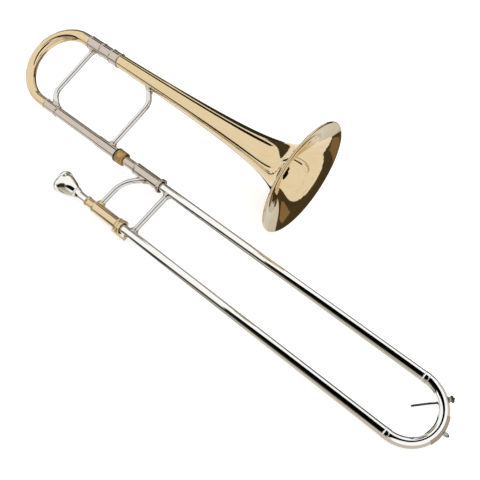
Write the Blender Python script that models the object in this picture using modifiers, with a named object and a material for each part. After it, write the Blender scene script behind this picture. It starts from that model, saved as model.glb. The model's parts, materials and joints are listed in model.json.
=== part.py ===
"""An E flat alto trombone with its hand slide closed, lying on a table.

The hand slide's own frame is used all through: x runs along the slide towards its bow, from the open
end of the cork barrels; y runs from the mouthpiece leg to the bell leg; z rises from the slide's plane.
The bell section has a frame of its own, turned about the bell leg. At the end the whole instrument is
rolled and tipped until its mouthpiece, its slide and its bell rim touch the table at z = 0.
"""

import math

import bmesh
import bpy
from mathutils import Vector

mm = 0.001

# Gap between two pieces that touch or slide on each other
fit_gap = 0.3 * mm

# Hand slide: two legs, each an inner tube inside an outer one
slide_spacing = 85.0 * mm
slide_bore_radius = 5.8 * mm
inner_wall = 0.35 * mm
stocking_rise = 0.2 * mm
stocking_length = 95.0 * mm
outer_wall = 0.3 * mm
slide_reach = 455.5 * mm
inner_end_room = 12.0 * mm
slide_entry = 29.0 * mm
leadpipe_wall = 0.5 * mm
leadpipe_length = 190.0 * mm

# Cork barrels that the outer tubes close into
lower_barrel_length = 60.0 * mm
upper_barrel_length = 54.0 * mm
barrel_radius = 9.2 * mm
barrel_wall = 0.7 * mm
barrel_floor = 3.0 * mm
end_ring_radius = 11.6 * mm
end_ring_length = 4.5 * mm
cork_length = 7.0 * mm

# Mouthpiece and its receiver
receiver_length = 16.5 * mm
receiver_radius = 7.3 * mm
receiver_lip_radius = 8.1 * mm
receiver_lip_length = 2.5 * mm
receiver_shoulder = 1.0 * mm
receiver_socket = 8.0 * mm
shank_insertion = 18.0 * mm
shank_end_radius = 5.4 * mm
shank_mouth_radius = 6.0 * mm
backbore_radius = 4.6 * mm
mouthpiece_length = 76.0 * mm
mouthpiece_radius = 18.5 * mm
rim_depth = 6.0 * mm
cup_radius = 12.4 * mm
cup_depth = 24.0 * mm
cup_wall = 4.0 * mm
cup_roundness = 0.8
throat_radius = 3.2 * mm
throat_length = 5.0 * mm
throat_ring_radius = 8.8 * mm
throat_ring_length = 2.2 * mm
throat_ring_place = 34.0 * mm

# Bell lock: the slide's tapered tenon, its collar and the nut that draws the bell section on
connector_radius = 7.5 * mm
connector_bore_radius = 6.0 * mm
connector_socket = 12.0 * mm
tenon_end_radius = 7.1 * mm
tenon_length = 33.0 * mm
collar_radius = 9.0 * mm
collar_thickness = 2.2 * mm
nut_offset = 24.1 * mm
nut_length = 15.5 * mm
nut_radius = 11.2 * mm
nut_lip = 3.6 * mm

# Bell section
bell_spacing = 124.4 * mm
bell_turn = math.radians(14.1)
bell_rim_place = 173.4 * mm
bell_rim_radius = 89.0 * mm
bell_stem_radius = 11.0 * mm
bell_length = 371.0 * mm
flare_power = 0.575
bell_wall = 0.5 * mm
rim_roll_radius = 1.7 * mm
rim_overhang = 1.2
rim_roll_turn = math.radians(290.0)
bell_receiver_length = 47.0 * mm
bell_receiver_wall = 0.5 * mm
receiver_nose_radius = 9.3 * mm
receiver_flange_radius = 10.8 * mm
receiver_flange_length = 1.8 * mm
neck_radius = 8.1 * mm
neck_wall = 0.5 * mm
neck_seat = 21.0 * mm
sleeve_length = 38.6 * mm
sleeve_wall = 0.6 * mm
bell_ferrule_length = 19.4 * mm
bell_ferrule_hold = 3.2 * mm
ferrule_wall = 0.5 * mm
bead_length = 2.2 * mm
bead_rise = 0.5 * mm

# Tuning slide in the bell section
tuning_ferrule_length = 27.0 * mm
bow_seat = 13.5 * mm
bow_straight = 12.6 * mm
tuning_bow_wall = 0.5 * mm
lower_bow_radius = 7.6 * mm
upper_bow_radius = 10.2 * mm
upper_leg_radius = 9.8 * mm
leg_wall = 0.5 * mm
lower_leg_length = 75.0 * mm
upper_leg_length = 49.0 * mm

# Braces: bent tubes that stand on saddle flanges
brace_radius = 4.3 * mm
brace_wall = 0.6 * mm
flange_margin = 2.9 * mm
flange_half_width = 5.9 * mm
flange_pad = 1.2 * mm
flange_collar_wall = 0.9 * mm
flange_collar_height = 3.4 * mm
flange_reach = 16.0 * mm
outer_brace_place = 16.6 * mm
hand_brace_place = 5.0 * mm
hand_brace_bend = 45.0 * mm
hand_brace_tail = 10.0 * mm
hand_brace_turn = math.radians(50.0)
front_brace_place = 26.8 * mm
front_brace_lean = math.radians(6.7)
front_brace_bend = 22.0 * mm
front_brace_tail = 16.0 * mm
front_brace_turn = math.radians(46.5)
rear_brace_place = 14.2 * mm
rear_brace_lean = math.radians(7.1)
rear_brace_bend = 20.0 * mm
rear_brace_tail = 11.0 * mm
rear_brace_turn = math.radians(57.1)

# Slide bow, its ferrules, guard and bumper
bow_wall = 0.5 * mm
slide_ferrule_back = 6.0 * mm
slide_ferrule_front = 1.5 * mm
slide_ferrule_wall = 0.35 * mm
slide_bead_length = 1.6 * mm
slide_bead_rise = 0.35 * mm
guard_half_angle = math.radians(24.0)
guard_wrap = math.radians(60.0)
guard_thickness = 0.6 * mm
bumper_radius = 2.8 * mm
bumper_length = 4.2 * mm
bumper_wall = 0.7 * mm
rubber_depth = 3.0 * mm
rubber_rise = 1.8 * mm

# Water key on the slide bow
key_angle = math.radians(47.5)
nipple_radius = 3.2 * mm
nipple_bore_radius = 2.1 * mm
nipple_rise = 2.4 * mm
key_cork_radius = 3.4 * mm
key_cork_length = 2.3 * mm
key_cup_wall = 0.8 * mm
key_cup_grip = 1.7 * mm
key_wire_radius = 1.2 * mm
key_touch_reach = 38.0 * mm
key_touch_depth = 2.3 * mm
key_touch_swell = 1.3
key_touch_end = 0.8
pivot_drop = 5.0 * mm
pivot_radius = 0.9 * mm
hub_radius = 1.9 * mm
hub_half_length = 4.9 * mm
saddle_ear = 1.8 * mm
saddle_half_width = 3.0 * mm
saddle_base = 1.3 * mm
screw_head_radius = 1.8 * mm
screw_head_length = 1.2 * mm
spring_wire_radius = 0.3 * mm
spring_pitch = 1.15 * mm
spring_turns = 2
spring_bight_reach = 5.5 * mm

# Slide lock: a ring on the lower barrel with a hooked finger, and its stud on the outer tube
lock_angle = math.radians(-10.0)
lock_throw = math.radians(32.0)
lock_ring_width = 5.7 * mm
lock_ring_wall = 1.4 * mm
finger_thickness = 1.8 * mm
finger_width = 5.0 * mm
hook_length = 3.2 * mm
stud_place = 11.0 * mm
stud_radius = 1.9 * mm
stud_foot_radius = 3.4 * mm
stud_foot_rise = 1.0 * mm

# Roundness: sides of round pieces, and points along what is curved
tube_steps = 18
bell_steps = 30
mouthpiece_steps = 22
fitting_steps = 16
bumper_steps = 14
screw_steps = 12
drain_steps = 10
bow_sides = 12
brace_sides = 8
flange_sides = 12
wire_sides = 6
bell_stations = 15
rim_roll_steps = 7
cup_steps = 4
slide_bow_points = 14
tuning_bow_points = 16
brace_bend_points = 5
guard_wrap_points = 6
guard_sweep_steps = 8
coil_points = 9
edge_cut = 0.4 * mm

# How many times as far as the piece it cuts a cutter reaches
overshoot = 2

# Sizes that follow from the ones above, from the mouthpiece to the slide bow
inner_radius = slide_bore_radius + inner_wall
stocking_radius = inner_radius + stocking_rise
outer_bore_radius = stocking_radius + fit_gap
outer_radius = outer_bore_radius + outer_wall
barrel_bore_radius = barrel_radius - barrel_wall
receiver_mouth = -(lower_barrel_length + receiver_length)
shank_end = receiver_mouth + shank_insertion
rim_face = shank_end - mouthpiece_length
lower_seat = shank_end + fit_gap + receiver_shoulder
leadpipe_radius = slide_bore_radius - fit_gap
leadpipe_bore_radius = leadpipe_radius - leadpipe_wall
inner_end = slide_reach - inner_end_room
upper_seat = -upper_barrel_length + barrel_floor
outer_end = slide_reach - slide_ferrule_back / 2
bow_end = outer_end + fit_gap
bow_radius = slide_spacing / 2
ferrule_bore_radius = outer_radius + fit_gap
guard_radius = outer_radius + fit_gap

# The bell lock and the bell section
nut_front = -(upper_barrel_length + nut_offset)
nut_back = nut_front - nut_length
nut_bore_radius = receiver_nose_radius + fit_gap
collar_front = nut_front - nut_lip - fit_gap
collar_back = collar_front - collar_thickness
nose_end = collar_back - fit_gap
tenon_end = nose_end - tenon_length
flange_front = nut_back - fit_gap
flange_back = flange_front - receiver_flange_length
bell_receiver_end = nut_back - bell_receiver_length
bell_receiver_radius = neck_radius + fit_gap + bell_receiver_wall
neck_end = bell_receiver_end + neck_seat
neck_bore_radius = neck_radius - neck_wall
stem_end = bell_rim_place - bell_length
throat_bore = bell_stem_radius - bell_wall
mouth_bore = bell_rim_radius - rim_overhang * rim_roll_radius
flare_start = bell_length / ((mouth_bore / throat_bore) ** (1 / flare_power) - 1)
sleeve_bore_radius = upper_leg_radius + fit_gap
sleeve_radius = sleeve_bore_radius + sleeve_wall
bell_ferrule_bore = max(bell_stem_radius, sleeve_radius) + fit_gap
bell_ferrule_start = stem_end - bell_ferrule_length + bell_ferrule_hold

# The tuning slide, back from the plane where it meets the bell section
joint_plane = stem_end - sleeve_length
tuning_ferrule_end = joint_plane - fit_gap
tuning_ferrule_start = tuning_ferrule_end - tuning_ferrule_length
tuning_bow_end = tuning_ferrule_start + bow_seat
tuning_bow_centre = tuning_ferrule_start - bow_straight
tuning_leg_start = tuning_bow_end + fit_gap
lower_leg_radius = neck_bore_radius - fit_gap
lower_socket_radius = max(lower_bow_radius, lower_leg_radius) + fit_gap
upper_socket_radius = max(upper_bow_radius, upper_leg_radius) + fit_gap
lower_ferrule_radius = lower_socket_radius + ferrule_wall
upper_ferrule_radius = upper_socket_radius + ferrule_wall

# The water key, in a plane across the slide bow
nipple_top = outer_radius + nipple_rise
key_cork_start = nipple_top + fit_gap
key_cork_end = key_cork_start + key_cork_length
key_cup_bore = key_cork_radius + fit_gap
key_cup_radius = key_cup_bore + key_cup_wall
key_cup_back = key_cork_end + fit_gap + key_cup_wall
pivot_depth = outer_radius + pivot_drop
pivot_bore_radius = pivot_radius + fit_gap
saddle_inner_half = hub_half_length + fit_gap
saddle_outer_half = saddle_inner_half + saddle_ear
spring_radius = hub_radius + fit_gap + spring_wire_radius

# The slide lock
lock_ring_start = -(end_ring_length + fit_gap)
lock_ring_radius = barrel_radius + fit_gap + lock_ring_wall
finger_inner = end_ring_radius + fit_gap
finger_outer = finger_inner + finger_thickness
hook_start = stud_place + stud_radius + fit_gap

# Turns that lay a turned piece's axis along X or Y
along_x = (0.0, math.pi / 2, 0.0)
along_y = (-math.pi / 2, 0.0, 0.0)

# Colour, roughness and metallic value of each finish
finishes = {
    "brass": ((0.80, 0.63, 0.34, 1.0), 0.12, 1.0),
    "gold_brass": ((0.72, 0.50, 0.20, 1.0), 0.22, 1.0),
    "nickel": ((0.74, 0.67, 0.60, 1.0), 0.14, 1.0),
    "chrome": ((0.85, 0.85, 0.84, 1.0), 0.06, 1.0),
    "silver": ((0.88, 0.88, 0.87, 1.0), 0.10, 1.0),
    "steel": ((0.55, 0.55, 0.55, 1.0), 0.25, 1.0),
    "cork": ((0.55, 0.36, 0.20, 1.0), 0.85, 0.0),
    "rubber": ((0.02, 0.02, 0.02, 1.0), 0.70, 0.0),
}


def clear_scene():
    """Remove whatever the file opened with."""
    for item in list(bpy.data.objects):
        bpy.data.objects.remove(item)


def add_collection(name):
    collection = bpy.data.collections.new(name)
    bpy.context.scene.collection.children.link(collection)
    return collection


def add_frame(name, parent=None, place=(0.0, 0.0, 0.0), turn=(0.0, 0.0, 0.0)):
    """An empty that carries the pieces of one body, on the line that the body turns about."""
    frame = bpy.data.objects.new(name, None)
    parts.objects.link(frame)
    frame.parent = parent
    frame.location = place
    frame.rotation_euler = turn
    return frame


def make_material(name, finish):
    colour, roughness, metallic = finishes[finish]
    material = bpy.data.materials.new(name)
    material.use_nodes = True
    shader = material.node_tree.nodes["Principled BSDF"]
    shader.inputs["Base Color"].default_value = colour
    shader.inputs["Roughness"].default_value = roughness
    shader.inputs["Metallic"].default_value = metallic
    return material


def add_item(name, data, frame, finish):
    """A piece of the instrument, or a cutter where there is no finish."""
    item = bpy.data.objects.new(name, data)
    item.parent = frame
    if finish:
        parts.objects.link(item)
        data.materials.append(make_material(f"{name}_{finish}", finish))
    else:
        cutters.objects.link(item)
        item.hide_render = True
        item.display_type = "WIRE"
    return item


def turned(name, finish, frame, profile, place=(0.0, 0.0, 0.0), turn=along_x, steps=tube_steps, ring=True):
    """A shape of revolution. Its profile is a list of (distance along the axis, radius) that runs down
    the outer side from the far end, and back along the bore; a solid's profile ends on the axis."""
    points = [(radius, 0.0, distance) for distance, radius in profile]
    edges = [(index, index + 1) for index in range(len(points) - 1)]
    if ring:
        edges.append((len(points) - 1, 0))
    mesh = bpy.data.meshes.new(name)
    mesh.from_pydata(points, edges, [])
    item = add_item(name, mesh, frame, finish)
    item.location = place
    item.rotation_euler = turn
    screw = item.modifiers.new("Turn", "SCREW")
    screw.steps = steps
    screw.render_steps = steps
    screw.use_merge_vertices = True
    screw.merge_threshold = 0.00001
    screw.use_smooth_shade = True
    return item


def tube(name, finish, frame, start, end, outer, bore, place=(0.0, 0.0, 0.0)):
    """A plain straight tube along X."""
    profile = [(end, outer), (start, outer), (start, bore), (end, bore)]
    return turned(name, finish, frame, profile, place)


def rod(name, finish, frame, start, end, radius, place=(0.0, 0.0, 0.0), turn=along_x, steps=tube_steps):
    """A plain solid round bar."""
    profile = [(end, 0.0), (end, radius), (start, radius), (start, 0.0)]
    return turned(name, finish, frame, profile, place, turn, steps, ring=False)


def beaded_sleeve(name, finish, frame, start, end, outer, bore, bead, rise, place, front_bead=True):
    """A ferrule with a raised bead round its back end, and in most places round its front end too."""
    profile = [
        (start + bead, outer), (start + bead, outer + rise), (start, outer + rise),
        (start, bore), (end, bore),
    ]
    if front_bead:
        profile = [(end, outer + rise), (end - bead, outer + rise), (end - bead, outer)] + profile
    else:
        profile = [(end, outer)] + profile
    return turned(name, finish, frame, profile, place)


def to_mesh(item, frame, finish):
    """Turn a curve into a mesh of the same name, with its caps welded on."""
    bpy.context.view_layer.update()
    evaluated = item.evaluated_get(bpy.context.evaluated_depsgraph_get())
    mesh = bpy.data.meshes.new_from_object(evaluated)
    mesh.materials.clear()
    name = item.name
    basis = item.matrix_basis.copy()
    bpy.data.objects.remove(item)
    work = bmesh.new()
    work.from_mesh(mesh)
    bmesh.ops.remove_doubles(work, verts=work.verts, dist=0.000001)
    work.to_mesh(mesh)
    work.free()
    solid = add_item(name, mesh, frame, finish)
    solid.matrix_basis = basis
    return solid


def bent_tube(name, finish, frame, path, radius, sides, wall=None, widths=None, place=(0.0, 0.0, 0.0)):
    """A tube or wire along a path; widths are each point's share of the radius."""
    curve = bpy.data.curves.new(name, "CURVE")
    curve.dimensions = "3D"
    curve.bevel_depth = radius
    curve.bevel_resolution = sides // 2 - 2
    curve.use_fill_caps = wall is None
    spline = curve.splines.new("POLY")
    spline.points.add(len(path) - 1)
    for index, point in enumerate(path):
        spline.points[index].co = (*point, 1.0)
        spline.points[index].radius = widths[index] if widths else 1.0
    item = bpy.data.objects.new(name, curve)
    cutters.objects.link(item)
    item.location = place
    if wall:
        shell = item.modifiers.new("Wall", "SOLIDIFY")
        shell.thickness = wall
        shell.offset = -1.0
        shell.use_even_offset = True
    return to_mesh(item, frame, finish)


def block(name, finish, frame, low, high):
    """A box between two corners."""
    mesh = bpy.data.meshes.new(name)
    work = bmesh.new()
    bmesh.ops.create_cube(work, size=1.0)
    span = [b - a for a, b in zip(low, high)]
    middle = [(a + b) / 2 for a, b in zip(low, high)]
    bmesh.ops.scale(work, vec=span, verts=work.verts)
    bmesh.ops.translate(work, vec=middle, verts=work.verts)
    work.to_mesh(mesh)
    work.free()
    return add_item(name, mesh, frame, finish)


def combine(item, tool, operation):
    change = item.modifiers.new(operation.title(), "BOOLEAN")
    change.operation = operation
    change.solver = "EXACT"
    change.object = tool


def cut(item, tool):
    combine(item, tool, "DIFFERENCE")


def join(item, tool):
    combine(item, tool, "UNION")


def arc(centre, radius, start, end, count):
    """Points on a circle about a centre in the frame's XY plane."""
    angles = [start + (end - start) * index / count for index in range(count + 1)]
    return [(centre[0] + radius * math.cos(a), centre[1] + radius * math.sin(a), 0.0) for a in angles]


def brace_path(foot, heading, bend, turn, tail, end_height):
    """A straight from the foot, a bend and a straight tail that ends at a height.

    The first straight takes up what the bend and the tail leave of the height. Returns the points and
    the tail's heading.
    """
    side = math.copysign(1.0, turn)
    last = heading + turn
    centre_side = heading + side * math.pi / 2
    bend_rise = bend * (math.sin(centre_side) - math.sin(last + side * math.pi / 2))
    rise = end_height - foot[1] - bend_rise - tail * math.sin(last)
    run = rise / math.sin(heading)
    knee = (foot[0] + run * math.cos(heading), foot[1] + run * math.sin(heading))
    centre = (knee[0] + bend * math.cos(centre_side), knee[1] + bend * math.sin(centre_side))
    stop_angle = last + side * math.pi / 2 + math.pi
    curve = arc(centre, bend, centre_side + math.pi, stop_angle, brace_bend_points)
    stop = (curve[-1][0] + tail * math.cos(last), end_height, 0.0)
    return [(foot[0], foot[1], 0.0)] + curve + [stop], last


def extend(path, length):
    """The same path, made longer at both ends along its end straights."""
    first = Vector(path[0]) + (Vector(path[0]) - Vector(path[1])).normalized() * length
    last = Vector(path[-1]) + (Vector(path[-1]) - Vector(path[-2])).normalized() * length
    return [first] + path[1:-1] + [last]


def host_cutter(name, frame, centre, reach, radius, front_radius=None):
    """The round tube that a brace stands on, with its clearance; a bell is wider at its front."""
    front = (front_radius or radius) + fit_gap
    low = centre[0] - reach
    high = centre[0] + reach
    profile = [(high, 0.0), (high, front), (low, radius + fit_gap), (low, 0.0)]
    return turned(name, None, frame, profile, (0.0, centre[1], 0.0), ring=False)


def saddle_flange(name, finish, frame, foot, heading, axis_height, host):
    """An oval pad bent over the tube it stands on, with a collar round the brace's end."""
    side = math.copysign(1.0, foot[1] - axis_height)
    slant = abs(math.sin(heading))
    depth = abs(foot[1] - axis_height) / 2
    half_length = (brace_radius + fit_gap) / slant + flange_margin
    mesh = bpy.data.meshes.new(name)
    work = bmesh.new()
    bmesh.ops.create_cone(work, segments=flange_sides, radius1=1.0, radius2=0.9, depth=1.0, cap_ends=True)
    bmesh.ops.scale(work, vec=(flange_half_width, half_length, depth + flange_pad), verts=work.verts)
    bmesh.ops.translate(work, vec=(0.0, 0.0, (flange_pad - depth) / 2), verts=work.verts)
    work.to_mesh(mesh)
    work.free()
    pad = add_item(name, mesh, frame, finish)
    pad.location = foot
    pad.rotation_euler = (0.0, math.pi / 2, side * math.pi / 2)
    along = (0.0, math.pi / 2, heading)
    bore = brace_radius + fit_gap
    reach = flange_collar_height / slant
    outside = bore + flange_collar_wall
    collar = rod(f"{name}_collar", None, frame, -depth, reach, outside, foot, along, flange_sides)
    bottom = -2 * overshoot * depth
    hole = rod(f"{name}_hole", None, frame, bottom, overshoot * reach, bore, foot, along, flange_sides)
    join(pad, collar)
    cut(pad, host)
    cut(pad, hole)
    return pad


def brace(name, frame, path, hosts):
    """A bent brace tube whose ends are fitted to the tubes between which it stands."""
    item = bent_tube(name, "chrome", frame, extend(path, fit_gap), brace_radius, brace_sides, brace_wall)
    for host in hosts:
        cut(item, host)
    return item


def make_barrel(leg, frame, length, hole_radius, height):
    """A cork barrel, open at the bow end, with its end ring and the cork that stops the outer tube."""
    profile = [
        (0.0, end_ring_radius - edge_cut), (-edge_cut, end_ring_radius),
        (-end_ring_length, end_ring_radius), (-end_ring_length, barrel_radius),
        (-length + edge_cut, barrel_radius), (-length, barrel_radius - edge_cut),
        (-length, hole_radius), (-length + barrel_floor, hole_radius),
        (-length + barrel_floor, barrel_bore_radius), (0.0, barrel_bore_radius),
    ]
    turned(f"{leg}_cork_barrel", "brass" if leg == "lower" else "nickel", frame, profile, (0.0, height, 0.0))
    cork_front = -(slide_entry + fit_gap)
    tube(
        f"{leg}_barrel_cork", "cork", frame, cork_front - cork_length, cork_front,
        barrel_bore_radius - fit_gap, inner_radius + fit_gap, (0.0, height, 0.0),
    )


def make_inner_tube(leg, frame, start, height):
    """An inner slide tube with the wider stocking that the outer tube runs on."""
    stocking_start = inner_end - stocking_length
    profile = [
        (inner_end, stocking_radius), (stocking_start, stocking_radius), (stocking_start, inner_radius),
        (start, inner_radius), (start, slide_bore_radius), (inner_end, slide_bore_radius),
    ]
    turned(f"{leg}_inner_tube", "chrome", frame, profile, (0.0, height, 0.0))


def make_receiver(frame):
    """The mouthpiece receiver: a taper for the shank, a shoulder, and a socket for the inner tube."""
    front = lower_seat + receiver_socket
    profile = [
        (front, receiver_radius), (receiver_mouth + receiver_lip_length, receiver_radius),
        (receiver_mouth + receiver_lip_length, receiver_lip_radius),
        (receiver_mouth, receiver_lip_radius), (receiver_mouth, shank_mouth_radius + fit_gap),
        (shank_end + fit_gap, shank_end_radius + fit_gap), (shank_end + fit_gap, leadpipe_bore_radius),
        (lower_seat, leadpipe_bore_radius), (lower_seat, inner_radius + fit_gap),
        (front, inner_radius + fit_gap),
    ]
    turned("mouthpiece_receiver", "brass", frame, profile)
    leadpipe_start = lower_seat + fit_gap
    tube(
        "leadpipe", "brass", frame, leadpipe_start, leadpipe_start + leadpipe_length,
        leadpipe_radius, leadpipe_bore_radius,
    )


def make_connector(frame):
    """The slide's half of the bell lock: a tapered tenon with a collar, soldered into the upper barrel."""
    front = upper_seat + connector_socket
    profile = [
        (front, connector_radius), (collar_front, connector_radius), (collar_front, collar_radius),
        (collar_back, collar_radius), (collar_back, connector_radius), (nose_end, connector_radius),
        (tenon_end, tenon_end_radius), (tenon_end, connector_bore_radius),
        (upper_seat, connector_bore_radius), (upper_seat, inner_radius + fit_gap),
        (front, inner_radius + fit_gap),
    ]
    turned("slide_connector", "nickel", frame, profile, (0.0, slide_spacing, 0.0))


def make_hand_brace(frame):
    """The brace between the cork barrels, straight from the lower one and bent forward to the upper."""
    foot = (-lower_barrel_length + hand_brace_place, barrel_radius)
    end_height = slide_spacing - barrel_radius
    path, last = brace_path(
        foot, math.pi / 2, hand_brace_bend, -hand_brace_turn, hand_brace_tail, end_height,
    )
    hosts = []
    for leg, point, heading, height in (
        ("lower", path[0], math.pi / 2, 0.0), ("upper", path[-1], last + math.pi, slide_spacing),
    ):
        host = host_cutter(f"{leg}_barrel_line", frame, (point[0], height), flange_reach, barrel_radius)
        finish = "brass" if leg == "lower" else "nickel"
        saddle_flange(f"hand_brace_{leg}_flange", finish, frame, point, heading, height, host)
        hosts.append(host)
    brace("hand_brace", frame, path, hosts)


def make_inner_slide(frame):
    make_receiver(frame)
    make_connector(frame)
    make_barrel("lower", frame, lower_barrel_length, receiver_radius + fit_gap, 0.0)
    make_barrel("upper", frame, upper_barrel_length, connector_radius + fit_gap, slide_spacing)
    make_inner_tube("lower", frame, lower_seat + fit_gap, 0.0)
    make_inner_tube("upper", frame, upper_seat + fit_gap, slide_spacing)
    make_hand_brace(frame)


def make_mouthpiece(frame):
    """The mouthpiece: rim, cup, throat and backbore inside a body with a throat ring."""
    ring = rim_face + throat_ring_place
    waist = rim_face + rim_depth
    cup_floor = rim_face + cup_depth
    rim_crest = (mouthpiece_radius + cup_radius) / 2
    cup_outside = cup_radius + cup_wall
    outside = [
        (shank_end, shank_end_radius), (receiver_mouth, shank_mouth_radius),
        (ring + throat_ring_length, shank_mouth_radius + throat_ring_length / 2),
        (ring + throat_ring_length, throat_ring_radius), (ring, throat_ring_radius),
        (ring, throat_ring_radius - edge_cut * 2),
    ]
    for index in range(1, cup_steps + 1):
        share = index / cup_steps
        width = throat_ring_radius + (cup_outside - throat_ring_radius) * math.sin(share * math.pi / 2)
        outside.append((ring + (waist - ring) * share, width))
    rim = [
        (waist - edge_cut, mouthpiece_radius - edge_cut), (rim_face + rim_depth / 2, mouthpiece_radius),
        (rim_face + edge_cut * 2, mouthpiece_radius - edge_cut * 2), (rim_face, rim_crest),
        (rim_face + edge_cut, (rim_crest + cup_radius) / 2 - edge_cut),
    ]
    inside = []
    bite = rim_depth / 3
    for index in range(cup_steps + 1):
        share = index / cup_steps
        depth = bite + (cup_depth - bite) * math.sin(share * math.pi / 2)
        width = throat_radius + (cup_radius - throat_radius) * math.cos(share * math.pi / 2) ** cup_roundness
        inside.append((rim_face + depth, width))
    inside.append((cup_floor + throat_length, throat_radius))
    inside.append((shank_end, backbore_radius))
    turned("mouthpiece", "silver", frame, outside + rim + inside, steps=mouthpiece_steps)


def make_lock_nut(frame):
    """The nut that is held on the slide by the collar and screws on the bell receiver's nose."""
    profile = [
        (nut_front, nut_radius - edge_cut * 2), (nut_front - edge_cut * 2, nut_radius),
        (nut_back + edge_cut * 2, nut_radius), (nut_back, nut_radius - edge_cut * 2),
        (nut_back, nut_bore_radius), (nut_front - nut_lip, nut_bore_radius),
        (nut_front - nut_lip, connector_radius + fit_gap), (nut_front, connector_radius + fit_gap),
    ]
    turned("lock_nut", "gold_brass", frame, profile)


def make_slide_lock(frame):
    """A ring that turns on the lower barrel, with a finger that hooks in front of the lock stud."""
    back = lock_ring_start - lock_ring_width
    bore = barrel_radius + fit_gap
    ring = tube("slide_lock", "brass", frame, back, lock_ring_start, lock_ring_radius, bore)
    curve = bpy.data.curves.new("slide_lock_finger", "CURVE")
    curve.dimensions = "2D"
    curve.fill_mode = "BOTH"
    curve.extrude = finger_width / 2
    hook_inner = outer_radius + stud_foot_rise + 2 * fit_gap
    root = lock_ring_radius - lock_ring_wall / 2
    hook_end = hook_start + hook_length
    outline = [
        (back, root), (lock_ring_start, root), (lock_ring_start, finger_inner),
        (hook_start, finger_inner), (hook_start, hook_inner), (hook_end, hook_inner),
        (hook_end, finger_outer), (back, finger_outer),
    ]
    spline = curve.splines.new("POLY")
    spline.points.add(len(outline) - 1)
    spline.use_cyclic_u = True
    for point, (place, radius) in zip(spline.points, outline):
        point.co = (place, -radius, 0.0, 1.0)
    flat = bpy.data.objects.new("slide_lock_finger", curve)
    cutters.objects.link(flat)
    join(ring, to_mesh(flat, frame, None))


def make_bow_ferrule(leg, frame, height):
    beaded_sleeve(
        f"{leg}_bow_ferrule", "nickel", frame, slide_reach - slide_ferrule_back,
        slide_reach + slide_ferrule_front, ferrule_bore_radius + slide_ferrule_wall,
        ferrule_bore_radius, slide_bead_length, slide_bead_rise, (0.0, height, 0.0),
    )


def bow_path():
    centre = (slide_reach, bow_radius)
    curve = arc(centre, bow_radius, -math.pi / 2, math.pi / 2, slide_bow_points)
    return [(bow_end, 0.0, 0.0)] + curve + [(bow_end, slide_spacing, 0.0)]


def make_slide_bow(frame, key_site, clearance):
    """The hollow end bow, drilled for the water key, with its nipple."""
    bow = bent_tube("slide_bow", "nickel", frame, bow_path(), outer_radius, bow_sides, bow_wall)
    drain = nipple_bore_radius - fit_gap
    cut(bow, rod("drain_hole", None, key_site, 0.0, nipple_top, drain, steps=drain_steps))
    base = outer_radius - bow_wall
    profile = [
        (nipple_top, nipple_radius - edge_cut), (nipple_top - edge_cut, nipple_radius),
        (base, nipple_radius), (base, nipple_bore_radius), (nipple_top, nipple_bore_radius),
    ]
    nipple = turned("water_key_nipple", "nickel", key_site, profile, steps=fitting_steps)
    cut(nipple, clearance)


def make_guard(frame):
    """The guard plate that wraps the outer side of the bow, and the bumper that stands on it."""
    name = "bow_guard"
    count = guard_wrap_points
    angles = [guard_wrap * (2 * index / count - 1) for index in range(count + 1)]
    points = [(bow_radius + guard_radius * math.cos(a), 0.0, -guard_radius * math.sin(a)) for a in angles]
    mesh = bpy.data.meshes.new(name)
    mesh.from_pydata(points, [(index, index + 1) for index in range(count)], [])
    guard = add_item(name, mesh, frame, "nickel")
    guard.location = (slide_reach, bow_radius, 0.0)
    guard.rotation_euler = (0.0, 0.0, -guard_half_angle)
    sweep = guard.modifiers.new("Sweep", "SCREW")
    sweep.angle = 2 * guard_half_angle
    sweep.steps = guard_sweep_steps
    sweep.render_steps = guard_sweep_steps
    sweep.use_merge_vertices = False
    sweep.use_smooth_shade = True
    plate = guard.modifiers.new("Plate", "SOLIDIFY")
    plate.thickness = guard_thickness
    plate.offset = 1.0
    plate.use_even_offset = True

    site = (slide_reach + bow_radius, bow_radius, 0.0)
    foot = guard_radius + guard_thickness + fit_gap
    holder_end = foot + bumper_length
    bore = bumper_radius - bumper_wall
    rubber_start = holder_end - rubber_depth
    profile = [
        (rubber_start, 0.0), (rubber_start, bore), (holder_end, bore),
        (holder_end, bumper_radius), (foot, bumper_radius), (foot, 0.0),
    ]
    turned("bumper_holder", "chrome", frame, profile, site, steps=bumper_steps, ring=False)
    plug = bore - fit_gap
    tip = holder_end + rubber_rise
    profile = [
        (tip, 0.0), (tip, plug - edge_cut), (tip - edge_cut, plug),
        (rubber_start + fit_gap, plug), (rubber_start + fit_gap, 0.0),
    ]
    turned("rubber_bumper", "rubber", frame, profile, site, steps=bumper_steps, ring=False)


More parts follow.
